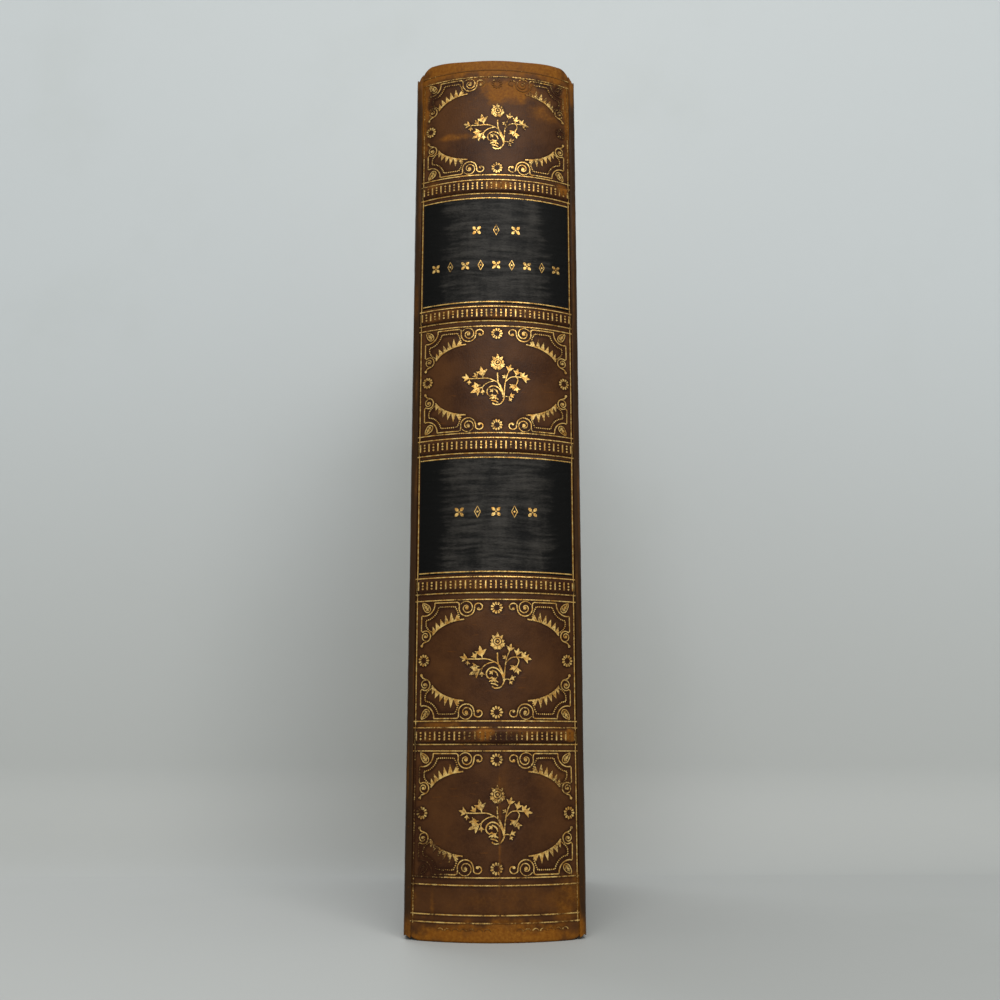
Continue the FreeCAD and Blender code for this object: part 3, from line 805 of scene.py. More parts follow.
class Design:
    """Strokes and shapes drawn about a point, to be set on the spine as often as the binder used the tool."""

    def __init__(self) -> None:
        """Start with nothing drawn."""
        self.strokes: list[Stroke] = []
        self.shapes: list[Shape] = []

    def placed(self, across: float, up: float, mirror_x: int = 1, mirror_y: int = 1) -> "Design":
        """Return a copy of the design at a place of the spine.

        Args:
            across, up: where the design's own origin goes.
            mirror_x, mirror_y: -1 to turn it over.

        Returns:
            The copy.
        """
        turn = np.array([mirror_x, mirror_y])
        origin = np.array([across, up])
        made = Design()
        made.strokes = [Stroke(s.points * turn + origin, s.width, s.taper, s.closed) for s in self.strokes]
        made.shapes = [Shape(s.outline * turn + origin) for s in self.shapes]
        return made

    def extend(self, other: "Design") -> None:
        """Take in another design."""
        self.strokes += other.strokes
        self.shapes += other.shapes


class CornerTool(Design):
    """The corner piece: a leaf in its notch, two scrolls, a beaded line and a toothed piece of an oval."""

    def __init__(self) -> None:
        """Draw the tool with its origin at the panel's corner, the panel to the right and below."""
        super().__init__()
        self.draw_leaf()
        self.draw_outline()
        self.draw_beads()
        self.draw_teeth()

    def draw_leaf(self) -> None:
        """Draw the leaf in the corner."""
        rim = flowing([(1.55, -0.45), (2.5, -0.75), (3.35, -1.35), (3.65, -2.2), (3.2, -2.75), (2.35, -2.6),
                       (1.75, -1.8), (1.5, -1.0), (1.55, -0.45)])
        self.strokes.append(Stroke(rim, 0.3, closed=True))
        self.strokes.append(Stroke(flowing([(1.75, -0.7), (2.5, -1.6), (3.1, -2.4)]), 0.46, True))
        for low, high in (((2.0, -1.5), (2.5, -1.9)), ((2.4, -2.1), (2.8, -2.4)), ((2.6, -1.1), (2.7, -1.6)),
                          ((3.1, -1.5), (3.15, -2.05))):
            self.strokes.append(Stroke(flowing([low, high]), 0.24))

    def draw_outline(self) -> None:
        """Draw the notch round the leaf and the outer line with its two scrolls."""
        notch = arc(2.05, -0.85, 2.8, 5, -104)
        self.strokes.append(Stroke(notch, 0.36))
        top = np.vstack([[(4.84, -0.6)], flowing([(4.9, -0.6), (10.6, -0.6)]), [(11.0, -0.85)],
                         arc(12.95, -2.05, 1.9, 165, 330)])
        link = flowing([(14.6, -3.0), (14.85, -2.0), (14.9, -1.35), (15.45, -0.95), (16.2, -1.0),
                        (16.72, -1.6), (16.5, -2.3), (15.9, -2.5)])
        self.strokes.append(Stroke(np.vstack([top, link[1:]]), 0.36))
        self.shapes.append(dot(15.75, -2.25, 0.34))
        self.strokes.append(Stroke(arc(12.95, -2.0, 1.75, 150, -330, 0.45), 0.34, True))
        self.shapes.append(dot(12.95, -2.0, 0.42))
        side = np.vstack([flowing([(1.25, -3.65), (1.2, -7.2)]), arc(2.45, -8.55, 1.3, 130, -75),
                          flowing([(2.5, -9.9), (1.75, -10.2), (1.45, -10.8)])[1:]])
        self.strokes.append(Stroke(side, 0.36))
        self.strokes.append(Stroke(arc(2.4, -8.55, 1.15, -75, -430, 0.35), 0.32, True))
        self.shapes.append(dot(2.3, -8.6, 0.36))
        self.shapes.append(dot(1.4, -10.85, 0.34))

    def draw_beads(self) -> None:
        """Draw the beaded line that follows the outline."""
        line = np.vstack([flowing([(4.3, -7.7), (3.3, -7.1), (2.55, -6.1), (2.5, -4.75)]),
                          arc(2.05, -0.85, 3.95, -80, -12)[1:], flowing([(6.1, -1.6), (10.1, -1.65)])[1:],
                          flowing([(10.6, -2.6), (11.15, -4.3)])])
        steps = np.r_[0, np.cumsum(np.linalg.norm(np.diff(line, axis=0), axis=1))]
        for distance in np.arange(0, steps[-1], 0.5):
            x, y = (np.interp(distance, steps, line[:, axis]) for axis in (0, 1))
            self.shapes.append(dot(x, y, 0.17))

    def draw_teeth(self) -> None:
        """Draw the piece of the oval and its flames."""
        rim = flowing([(4.3, -8.35), (5.2, -7.35), (6.6, -6.35), (8.6, -5.45), (10.4, -4.95), (12.3, -4.7)])
        self.strokes.append(Stroke(rim, 0.42))
        tips = [(4.35, -6.3), (5.1, -5.3), (6.3, -4.5), (7.6, -3.6), (9.1, -3.0), (10.6, -3.5)]
        steps = np.linspace(0.02, 0.9, len(tips) + 1)
        for tip, first, last in zip(tips, steps, steps[1:]):
            low, high = rim[int(first * (len(rim) - 1))], rim[int(last * (len(rim) - 1))]
            self.shapes.append(Shape(np.array([low, tip, high])))


class RosetteTool(Design):
    """A ring of small petals."""

    def __init__(self, petals: int = 11, inner: float = 0.72, outer: float = 1.5) -> None:
        """Draw the ring about its own centre.

        Args:
            petals: how many petals it has.
            inner, outer: how far from the centre a petal starts and ends.
        """
        super().__init__()
        for number in range(petals):
            angle = 2 * math.pi * number / petals
            along = np.array([math.cos(angle), math.sin(angle)])
            across = np.array([-along[1], along[0]])
            self.shapes.append(Shape(np.array([
                along * inner - across * 0.1, along * (outer - 0.25) - across * 0.27, along * outer,
                along * (outer - 0.25) + across * 0.27, along * inner + across * 0.1])))


class SprayTool(Design):
    """The flower spray: an open bloom on a stem, with three-pointed leaves and a curling foot."""

    LEAF_SPREAD = 0.5
    BLOOM = (0.38, 4.5)
    HEART = 1.05

    def __init__(self) -> None:
        """Draw the spray about the middle of its panel."""
        super().__init__()
        self.draw_bloom()
        self.draw_stems()
        self.draw_leaves()

    def leaf(self, root: tuple[float, float], tip: tuple[float, float]) -> None:
        """Draw one three-pointed leaf.

        Args:
            root, tip: where it starts and ends.
        """
        start, end = np.array(root), np.array(tip)
        along = end - start
        side = np.array([-along[1], along[0]])
        points = [(0, 0.04), (0.22, 0.10), (0.3, 0.34), (0.5, 0.66), (0.66, 0.9), (0.62, 0.5), (0.6, 0.26),
                  (0.8, 0.2), (1, 0)]
        outline = points + [(a, -b) for a, b in reversed(points[:-1])]
        self.shapes.append(Shape(np.array([start + along * a + side * b * self.LEAF_SPREAD
                                           for a, b in outline])))

    def draw_bloom(self) -> None:
        """Draw the bloom: a round heart, three pointed petals above and six scalloped ones."""
        x, y = self.BLOOM
        self.strokes.append(Stroke(arc(x, y, 0.72, 0, 360), 0.42, closed=True))
        self.shapes.append(dot(x + 0.05, y, 0.28))
        for low, high, reach in ((150, 112, 2.05), (108, 72, 2.25), (68, 30, 2.05)):
            self.shapes.append(self.petal(low, high, reach, (0.62, 1.0, 0.62)))
        for low, high, reach in ((194, 234, 2.0), (238, 268, 2.1), (272, 302, 2.1), (306, 346, 2.05),
                                 (158, 188, 1.7), (352, 382, 1.7)):
            self.shapes.append(self.petal(low, high, reach, (0.92, 0.86, 1.0, 0.86, 0.92)))

    def petal(self, low: float, high: float, reach: float, rim: tuple) -> Shape:
        """Return one petal of the bloom.

        Args:
            low, high: the angles in degrees that it lies between.
            reach: how far it reaches from the middle of the bloom.
            rim: the shares of that reach at the points of its rim.

        Returns:
            The petal.
        """
        x, y = self.BLOOM
        angles = np.radians(np.linspace(low, high, len(rim)))
        outer = [(x + reach * share * math.cos(a), y + reach * share * math.sin(a)) for a, share in
                 zip(angles, rim)]
        inner = [(x + self.HEART * math.cos(a), y + self.HEART * math.sin(a)) for a in angles[::-1]]
        return Shape(np.array(outer + inner))

    def draw_stems(self) -> None:
        """Draw the stems and the scroll at the foot."""
        stems = [([(0.35, 1.8), (0.5, -0.6), (1.3, -2.6), (2.0, -4.6), (1.2, -6.2), (-0.2, -6.55),
                   (-0.9, -6.1)], 0.42),
                 ([(1.9, -3.6), (0.8, -1.2), (-0.9, -0.1), (-2.4, 0.35), (-4.6, 0.3), (-7.2, 0.35)], 0.34),
                 ([(-0.3, -0.35), (-1.9, -0.75), (-3.1, -1.6), (-3.5, -2.6)], 0.32),
                 ([(2.0, -4.2), (2.2, -1.5), (2.6, 0.6), (3.2, 2.1)], 0.34),
                 ([(2.35, -0.6), (3.6, 0.6), (5.2, 0.8), (7.0, 0.6)], 0.3),
                 ([(5.0, 0.8), (5.5, 0.0), (5.1, -1.2), (4.4, -2.2)], 0.28),
                 ([(1.9, -4.6), (2.6, -4.4), (3.5, -4.6)], 0.3)]
        for points, width in stems:
            self.strokes.append(Stroke(flowing(points), width))
        scroll = flowing([(1.95, -4.9), (1.4, -3.2), (0.3, -2.0), (-1.0, -1.7), (-2.1, -2.5), (-2.2, -3.6),
                          (-1.5, -4.3), (-0.8, -3.9)])
        self.strokes.append(Stroke(scroll, 0.42))
        for points in ([(-0.9, -2.3), (0.1, -2.9), (0.5, -3.8)], [(-1.6, -5.0), (-0.6, -4.6), (0.6, -5.2)],
                       [(-1.2, -5.4), (-0.2, -5.6), (0.5, -6.0)]):
            self.strokes.append(Stroke(flowing(points), 0.44, True))

    def draw_leaves(self) -> None:
        """Draw the leaves of both sides."""
        places = (((-3.2, 0.35), (-3.9, 3.5)), ((-4.6, 0.3), (-5.6, 1.9)), ((-6.4, 0.3), (-8.7, 0.9)),
                  ((-6.7, 0.1), (-6.8, -1.3)), ((-3.3, -1.9), (-6.4, -3.4)), ((-3.4, -2.4), (-3.3, -4.0)),
                  ((-3.9, -1.4), (-6.2, -1.7)), ((3.1, 1.8), (3.7, 4.0)), ((2.6, 0.4), (1.5, 1.1)),
                  ((4.9, 0.9), (5.5, 3.0)), ((6.2, 0.7), (8.7, 0.3)), ((6.0, 0.6), (7.3, 2.1)),
                  ((5.0, -1.4), (5.4, -3.4)), ((4.9, -1.2), (3.2, -2.3)), ((3.2, -4.5), (4.7, -3.8)),
                  ((3.2, -4.7), (3.9, -5.7)), ((0.3, -4.0), (-1.1, -5.1)), ((-0.6, -2.4), (-1.6, -3.3)))
        for root, tip in places:
            self.leaf(root, tip)


@dataclass
class Gilding:
    """All the gold tooling of the spine.

    Args:
        plan: the spine.
        leaf_lift, sink: how far the gold stands out of the calf and reaches into it.
        fineness: the share of a stroke's drawn width that the gold has.
        bar_pitch, bars, bar_height, bar_width: the roll of bars along a band.
        dot_step, dot_radius: the three dots between two bars.
        tail_lines, head_line, panels: the heights of the lines across the spine.
        rosette_inset: from the frame of a panel to the middle of a rosette.
        side_lines, side_span: the places of the lines along the sides, and their lowest and highest point.
        cross_past: how far a line across runs past the first side line.
        band_line: from the middle of a band to the line beside it.
        label_inset, label_short: from a label's edge to its line, and how far that stops short at the sides.
        cross_width, side_width: the widths of the lines.
        scallop_pitch, scallop_level, scallop_radius: the row of small arches at the tail.
        lost_scallops: the arches that are rubbed off, counted from the middle.
    """

    plan: SpinePlan
    leaf_lift: float = 0.05
    sink: float = 0.04
    fineness: float = 0.8
    bar_pitch: float = 2.42
    bars: int = 17
    bar_height: float = 2.0
    bar_width: float = 0.46
    tail_lines: tuple = (4.3, 6.0, 12.5)
    head_line: float = 219.5
    panels: tuple = ((14.2, 42.6), (49.5, 78.2), (119.7, 147.6), (189.2, 217.5))
    rosette_inset: float = 2.0
    side_lines: tuple = (20.0, 21.0)
    side_span: tuple = (3.9, 217.8)
    dot_step: float = 0.72
    dot_radius: float = 0.24
    cross_past: float = 0.9
    band_line: float = 1.95
    label_inset: float = 0.45
    label_short: float = 0.1
    cross_width: float = 0.36
    side_width: float = 0.32
    scallop_pitch: float = 1.85
    scallop_level: float = 2.3
    scallop_radius: float = 0.8
    lost_scallops: tuple = (-9, -8, 0, 1, 2)

    def __post_init__(self) -> None:
        """Draw every kind of tool in its places."""
        self.kinds: dict[str, Design] = {name: Design() for name in (
            "gilt_corner_pieces", "gilt_rosettes", "gilt_sprays", "gilt_band_bars", "gilt_band_dots",
            "gilt_cross_fillets", "gilt_side_fillets", "gilt_tail_scallops", "gilt_label_ornament")}
        self.draw_panels()
        self.draw_bands()
        self.draw_lines()
        self.draw_tail()
        self.draw_label_ornament()

    def draw_panels(self) -> None:
        """Set corner pieces, rosettes and a spray in each panel."""
        corner, rosette, spray = CornerTool(), RosetteTool(), SprayTool()
        half = self.plan.frame_half_width
        for low, high in self.panels:
            middle = (low + high) / 2
            for side in (-1, 1):
                for level, turn in ((low, -1), (high, 1)):
                    self.kinds["gilt_corner_pieces"].extend(corner.placed(side * half, level, -side, turn))
                self.kinds["gilt_rosettes"].extend(rosette.placed(side * (half - self.rosette_inset), middle))
            for level in (low + self.rosette_inset, high - self.rosette_inset):
                self.kinds["gilt_rosettes"].extend(rosette.placed(0.2, level))
            self.kinds["gilt_sprays"].extend(spray.placed(0, middle - 0.2))

    def draw_bands(self) -> None:
        """Run the roll of bars and dots along each band."""
        first = -(self.bars - 1) / 2
        for level in self.plan.bands:
            for number in range(self.bars):
                across = (first + number) * self.bar_pitch
                half = self.bar_height / 2
                bar = np.array([(across, level - half), (across, level + half)])
                self.kinds["gilt_band_bars"].strokes.append(Stroke(bar, self.bar_width))
            for number in range(self.bars - 1):
                across = (first + number + 0.5) * self.bar_pitch
                for step in (-self.dot_step, 0, self.dot_step):
                    self.kinds["gilt_band_dots"].shapes.append(dot(across, level + step, self.dot_radius))

    def draw_lines(self) -> None:
        """Rule the lines across the spine and along its sides."""
        reach = self.side_lines[0] + self.cross_past
        levels = [(level, reach) for level in self.tail_lines + (self.head_line,)]
        levels += [(edge, reach) for panel in self.panels for edge in panel]
        levels += [(band + step, reach) for band in self.plan.bands
                   for step in (-self.band_line, self.band_line)]
        levels += [(edge, self.plan.label_half_width - self.label_short) for low, high in self.plan.labels
                   for edge in (low + self.label_inset, high - self.label_inset)]
        for level, half in levels:
            line = flowing([(-half, level), (0, level), (half, level)], 0.8)
            self.kinds["gilt_cross_fillets"].strokes.append(Stroke(line, self.cross_width))
        for place in self.side_lines:
            for side in (-1, 1):
                up = np.linspace(*self.side_span, 240)
                line = np.stack([np.full(len(up), side * place), up], -1)
                self.kinds["gilt_side_fillets"].strokes.append(Stroke(line, self.side_width))

    def draw_tail(self) -> None:
        """Draw the row of small arches at the tail."""
        for number in range(-9, 10):
            if number not in self.lost_scallops:
                arch = arc(number * self.scallop_pitch, self.scallop_level, self.scallop_radius,
                           20, 160, None, 20)
                self.kinds["gilt_tail_scallops"].strokes.append(Stroke(arch, 0.3))

    def draw_label_ornament(self) -> None:
        """Set plain florets and lozenges where the labels carried words."""
        lower_foot, upper_foot = (low for low, high in self.plan.labels)
        # Each row: its height, how many ornaments, from one to the next, and their size.
        rows = [(upper_foot + 20.0, 3, 5.0, 1.25), (upper_foot + 10.4, 9, 3.95, 1.2),
                (lower_foot + 15.2, 5, 4.5, 1.3)]
        made = self.kinds["gilt_label_ornament"]
        for level, count, pitch, size in rows:
            for number in range(count):
                across = (number - (count - 1) / 2) * pitch
                ornament = self.lozenge(size) if number % 2 else self.floret(size)
                made.extend(ornament.placed(across, level))

    @staticmethod
    def floret(size: float) -> Design:
        """Return a four-petalled flower.

        Args:
            size: about how far a petal reaches.

        Returns:
            The flower, about its own centre.
        """
        made = Design()
        for number in range(4):
            angle = math.radians(45 + 90 * number)
            along = np.array([math.cos(angle), math.sin(angle)])
            side = np.array([-along[1], along[0]])
            outline = [along * size * a + side * size * b for a, b in
                       ((0.2, 0), (0.5, 0.3), (0.9, 0.26), (1.15, 0), (0.9, -0.26), (0.5, -0.3))]
            made.shapes.append(Shape(np.array(outline)))
        made.shapes.append(dot(0, 0, size * 0.16))
        return made

    @staticmethod
    def lozenge(size: float) -> Design:
        """Return an upright lozenge with a dot in it.

        Args:
            size: about half its height.

        Returns:
            The lozenge, about its own centre.
        """
        made = Design()
        tall, wide = size * 1.1, size * 0.55
        rim = np.array([(0, tall), (wide, 0), (0, -tall), (-wide, 0), (0, tall)])
        made.strokes.append(Stroke(rim, 0.3, closed=True))
        made.shapes.append(dot(0, 0, size * 0.2))
        return made

    def samples(self) -> np.ndarray:
        """Find points along all the tooling on the calf, which sinks round them and is painted darker there
        as shade of the impressions.

        Returns:
            One row of across and up for each point.
        """
        gap = 0.15
        found = []
        for name, design in self.kinds.items():
            if name == "gilt_label_ornament":
                continue
            for stroke in design.strokes:
                steps = np.r_[0, np.cumsum(np.linalg.norm(np.diff(stroke.points, axis=0), axis=1))]
                even = np.arange(0, steps[-1] + gap, gap)
                found.append(np.stack([np.interp(even, steps, places) for places in stroke.points.T], -1))
            for shape in design.shapes:
                found.append(shape.outline)
                found.append(shape.outline.mean(0, keepdims=True))
        return np.vstack(found)

    def build(self, worn: "WornCalf") -> None:
        """Make one piece for each kind of tool.

        Args:
            worn: where the calf is rubbed and the gold is lost.
        """
        replaced = {node for node in frame["nodes"] if node.startswith("gilt_")}
        for name, design in self.kinds.items():
            points, faces = [], []
            for stroke in design.strokes:
                self.add_ribbon(stroke, points, faces)
            for shape in design.shapes:
                self.add_plate(shape, points, faces)
            flat = np.vstack(points)
            base = self.plan.ground(flat[:, 0], flat[:, 1])
            placed = self.plan.place(flat[:, 0], flat[:, 1], base + flat[:, 2])
            marks = {"worn": worn.at(flat[:, 0], flat[:, 1]), "faded": worn.faded(flat[:, 0], flat[:, 1])}
            piece = make_piece(name.replace("gilt", "gold_leaf"), placed, faces, GOLD, "book",
                               flat, marks, 50)
            if name in replaced:
                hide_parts(name)

    def add_ribbon(self, stroke: Stroke, points: list, faces: list) -> None:
        """Add a stroke as a thin closed strip.

        Args:
            stroke: the line to draw.
            points: the points so far, as across, up and lift; new ones are added.
            faces: the faces so far; new ones are added.
        """
        line = stroke.points[:-1] if stroke.closed else stroke.points
        if stroke.closed:
            along = np.roll(line, -1, 0) - np.roll(line, 1, 0)
        else:
            along = np.gradient(line, axis=0)
        along /= np.maximum(np.linalg.norm(along, axis=1, keepdims=True), 1e-6)
        side = np.stack([-along[:, 1], along[:, 0]], -1)
        width = np.full(len(line), stroke.width * self.fineness)
        if stroke.taper:
            width *= 1 - 0.45 * np.abs(np.linspace(-1, 1, len(line))) ** 2
        start = sum(len(block) for block in points)
        rings = []
        for reach, lift in ((0.5, -self.sink), (0.42, self.leaf_lift), (-0.42, self.leaf_lift),
                            (-0.5, -self.sink)):
            rings.append(np.column_stack([line + side * (width * reach)[:, None],
                                          np.full(len(line), lift)]))
        points.append(np.stack(rings, 1).reshape(-1, 3))
        strip = grid_faces(len(line), 4, stroke.closed, True)
        faces.extend((strip + start).tolist())
        if not stroke.closed:
            last = start + 4 * (len(line) - 1)
            faces.append([start, start + 1, start + 2, start + 3])
            faces.append([last + 3, last + 2, last + 1, last])

    def add_plate(self, shape: Shape, points: list, faces: list) -> None:
        """Add a filled form as a thin closed plate.

        Args:
            shape: the form.
            points: the points so far, as across, up and lift; new ones are added.
            faces: the faces so far; new ones are added.
        """
        outline = shape.outline
        area = np.sum(outline[:, 0] * np.roll(outline[:, 1], -1) - outline[:, 1] * np.roll(outline[:, 0], -1))
        if area < 0:
            outline = outline[::-1]
        count = len(outline)
        start = sum(len(block) for block in points)
        low = np.column_stack([outline, np.full(count, -self.sink)])
        high = np.column_stack([outline, np.full(count, self.leaf_lift)])
        points.append(np.vstack([low, high]))
        for index in range(count):
            after = (index + 1) % count
            faces.append([start + index, start + after, start + count + after, start + count + index])
        faces.append(list(range(start + count, start + 2 * count)))
        faces.append(list(range(start + count - 1, start - 1, -1)))


@dataclass
class WornCalf:
    """Where the calf of the spine is rubbed and scuffed, and where its gold is lost.

    Args:
        patches: the places where the calf is rubbed.
        lost_gold: the places where gold is lost besides.
        gold_share: the share of the wear that the gold shows.
    """

    patches: tuple = (
        WornPatch(2.6, 213.4, 9.0, 4.6, 1.1), WornPatch(-11.8, 200.7, 5.6, 1.3, 0.8),
        WornPatch(12.5, 208.5, 5.5, 3.5, 0.6), WornPatch(0.0, 209.0, 24.0, 12.0, 0.22),
        WornPatch(0.6, 186.0, 3.4, 1.6, 0.95),
        WornPatch(18.0, 187.0, 2.0, 1.8, 0.8), WornPatch(-16.5, 187.5, 3.0, 1.5, 0.5),
        WornPatch(-2.0, 46.6, 2.6, 1.6, 0.95), WornPatch(18.3, 46.5, 1.6, 1.9, 1.0),
        WornPatch(-13.0, 48.6, 7.0, 0.9, 0.6), WornPatch(4.0, 47.5, 16.0, 1.2, 0.35),
        WornPatch(0.9, 24.0, 0.4, 17.5, 0.55), WornPatch(1.6, 34.0, 2.2, 7.0, 0.25),
        WornPatch(-15.0, 8.0, 0.8, 4.0, 0.5), WornPatch(17.0, 7.5, 5.5, 6.5, 0.6),
        WornPatch(0.0, 0.8, 30.0, 3.8, 1.3), WornPatch(4.0, 9.0, 20.0, 4.0, 0.3),
        WornPatch(0.0, 221.5, 30.0, 4.6, 1.3), WornPatch(-20.5, 210.0, 2.6, 16.0, 0.9),
        WornPatch(20.5, 208.0, 2.6, 16.0, 0.9), WornPatch(20.8, 8.0, 2.4, 9.0, 0.65),
        WornPatch(-20.8, 7.0, 2.4, 8.0, 0.5), WornPatch(-14.5, 20.0, 6.5, 5.0, 0.12),
        WornPatch(13.0, 36.0, 7.0, 4.5, 0.25))
    lost_gold: tuple = (
        WornPatch(-16.0, 17.5, 6.5, 5.5, 0.66), WornPatch(-18.5, 212.5, 4.0, 5.0, 0.5),
        WornPatch(17.5, 213.0, 5.0, 5.5, 0.5), WornPatch(18.3, 203.7, 3.0, 3.0, 0.55),
        WornPatch(0.5, 215.1, 3.0, 2.5, 0.9), WornPatch(0.0, 219.5, 26.0, 1.2, 0.7),
        WornPatch(-20.0, 30.0, 2.0, 26.0, 0.5), WornPatch(0.0, 46.0, 8.0, 3.0, 0.5))
    gold_share: float = 0.62

    def __post_init__(self) -> None:
        """Draw the noise that breaks the patches up."""
        self.noise = SmoothNoise(SEED + 5)

    def at(self, across: np.ndarray, up: np.ndarray) -> np.ndarray:
        """Return how worn the calf is.

        Args:
            across, up: places on the flattened spine.

        Returns:
            The wear at each place, from 0 to about 1.3.
        """
        across, up = np.asarray(across, float), np.asarray(up, float)
        stray = 0.3 * self.noise.at(across, up, 3.2, 2.4) + 0.12 * self.noise.at(across, up, 0.9, 0.9)
        total = np.zeros(across.shape)
        for patch in self.patches:
            total = np.maximum(total, patch.loss(across, up, 0.2, 1.4, stray))
        return total

    def faded(self, across: np.ndarray, up: np.ndarray) -> np.ndarray:
        """Return how much of the gold is gone.

        Args:
            across, up: places on the flattened spine.

        Returns:
            The loss at each place, from 0 to about 0.9.
        """
        total = self.gold_share * self.at(across, up)
        for patch in self.lost_gold:
            total = np.maximum(total, patch.loss(across, up, 0.4, 1.2))
        return total


@dataclass
class SpineCalf:
    """The calf of the spine, moulded over the bands and turned in at the caps.

    Args:
        plan: the spine.
        thickness: of the calf.
        lip, lip_reach, lip_loss: how far a cap's lip reaches inwards, how far across it goes, and the share
            of it that is gone beyond.
        rim: the radius of the caps' outer edge.
        step: from one point of the skin to the next.
        tool_depth: how deep the tools pressed.
        groove_places, groove_depth, groove_width: the lines pressed without gold near the joints.
    """

    plan: SpinePlan
    thickness: float = 1.1
    lip: float = 3.0
    lip_reach: float = 17.5
    rim: float = 0.6
    step: float = 0.335
    tool_depth: float = 0.07
    lip_loss: float = 0.72
    groove_places: tuple = (20.5, 21.5)
    groove_depth: float = 0.12
    groove_width: float = 0.22

    def build(self, gilding: Gilding, worn: WornCalf) -> None:
        """Make the calf as one closed skin: a closed section at each place across the spine.

        Args:
            gilding: the tooling that sinks into the calf.
            worn: where the calf is rubbed.
        """
        plan = self.plan
        columns = int(2 * plan.half_width / self.step) + 1
        across = np.linspace(-plan.half_width, plan.half_width, columns)
        section = self.section()
        rows = len(section)
        u = np.repeat(across[:, None], rows, 1)
        z = np.repeat(section[None, :, 1], columns, 0)
        depth = np.repeat(section[None, :, 0], columns, 0)
        outer = section[:, 2][None, :]
        # The nearness of the gold both sinks the calf a little and, as a mark, paints shade round the
        # tooling.
        tooled = self.tooling(gilding, across, section[:, 1]) * outer
        drop = plan.corner_drop(u)
        crown = plan.cap_crown + plan.cap_shoulder * ramp(np.abs(u), *plan.shoulder_span)
        z = np.where(z > plan.height / 2,
                     z + crown * ramp(z, plan.height - plan.crown_depth, plan.height)
                     - drop * ramp(z, plan.height - plan.fall_depth, plan.height),
                     z + plan.tail_share * drop * (1 - ramp(z, 0, plan.fall_depth)))
        lip_share = 1 - self.lip_loss * ramp(np.abs(u), self.lip_reach - 2, self.lip_reach + 1.5)
        depth = np.where(depth > self.thickness, self.thickness + (depth - self.thickness) * lip_share, depth)
        grooves = sum(self.groove_depth * np.exp(-((np.abs(u) - place) / self.groove_width) ** 2)
                      for place in self.groove_places)
        lift = (plan.lift(u, z) - self.tool_depth * tooled - grooves) * outer - depth
        points = plan.place(u, z, lift)
        flat = np.stack([u, z, depth], -1)
        rubbed = worn.at(u, z) + 0.5 * ramp(plan.lift(u, z), 0.5, 0.75) * (0.5 + worn.noise.at(u, z, 4, 2))
        # The tooling mark paints shade round the gold.
        marks = {"tooled": np.clip(tooled, 0, 1), "worn": np.clip(rubbed, 0, 1.3),
                 # Painted shade on the outer strip of the spine, where it turns away into the joint.
                 "joint": ramp(np.abs(u), 19.9, 20.6)}
        piece = make_piece("spine_calf", points.reshape(-1, 3), tube_faces(columns, rows), CALF,
                           "book", flat.reshape(-1, 3), marks, 60)
        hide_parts("spine_leather")

    def section(self) -> np.ndarray:
        """Return the closed section of the calf from the tail to the head and back.

        Returns:
            One row for each point: its depth under the face, its height, and 1 on the outer face.
        """
        height, rim, thick, lip = self.plan.height, self.rim, self.thickness, self.lip
        inner = thick + lip
        straight = np.arange(rim, height - rim, self.step)
        outside = [(0.0, z, 1.0) for z in straight]
        head = [(rim - rim * math.cos(math.radians(a)), height - rim + rim * math.sin(math.radians(a)), 1.0)
                for a in range(0, 91, 15)]
        cap = [(d, height, 0.0) for d in np.linspace(rim + 0.4, inner - 0.45, 6)]
        turn = [(inner - 0.13, height - 0.13, 0.0), (inner, height - 0.45, 0.0),
                (inner - 0.13, height - 0.77, 0.0), (inner - 0.45, height - 0.9, 0.0),
                (thick + 0.3, height - 0.95, 0.0), (thick, height - 1.3, 0.0)]
        over = outside + head + cap + turn
        inside = [(thick, z, 0.0) for z in np.linspace(height - 8, 8, 24)]
        tail = [(d, height - z, flag) for d, z, flag in reversed(head[1:] + cap + turn)]
        return np.array(over + inside + tail)

    def tooling(self, gilding: Gilding, across: np.ndarray, up: np.ndarray) -> np.ndarray:
        """Return how near the gold is.

        Args:
            gilding: the tooling.
            across: the places of the skin's points across the spine.
            up: their heights.

        Returns:
            The nearness at each point, from 0 to 1.
        """
        cell = self.step
        rows = int(self.plan.height / cell) + 2
        raster = np.zeros((len(across), rows))
        found = gilding.samples()
        columns = np.rint((found[:, 0] - across[0]) / (across[1] - across[0])).astype(int)
        levels = np.rint(found[:, 1] / cell).astype(int)
        keep = (columns >= 0) & (columns < len(across)) & (levels >= 0) & (levels < rows)
        raster[columns[keep], levels[keep]] = 1
        kernel = np.exp(-np.arange(-4, 5) ** 2 / 2.6)
        kernel /= kernel.sum()
        for axis in (0, 1):
            raster = np.apply_along_axis(lambda line: np.convolve(line, kernel, "same"), axis, raster)
        return np.clip(raster[:, np.clip(np.rint(up / cell).astype(int), 0, rows - 1)] * 2.6, 0, 1)


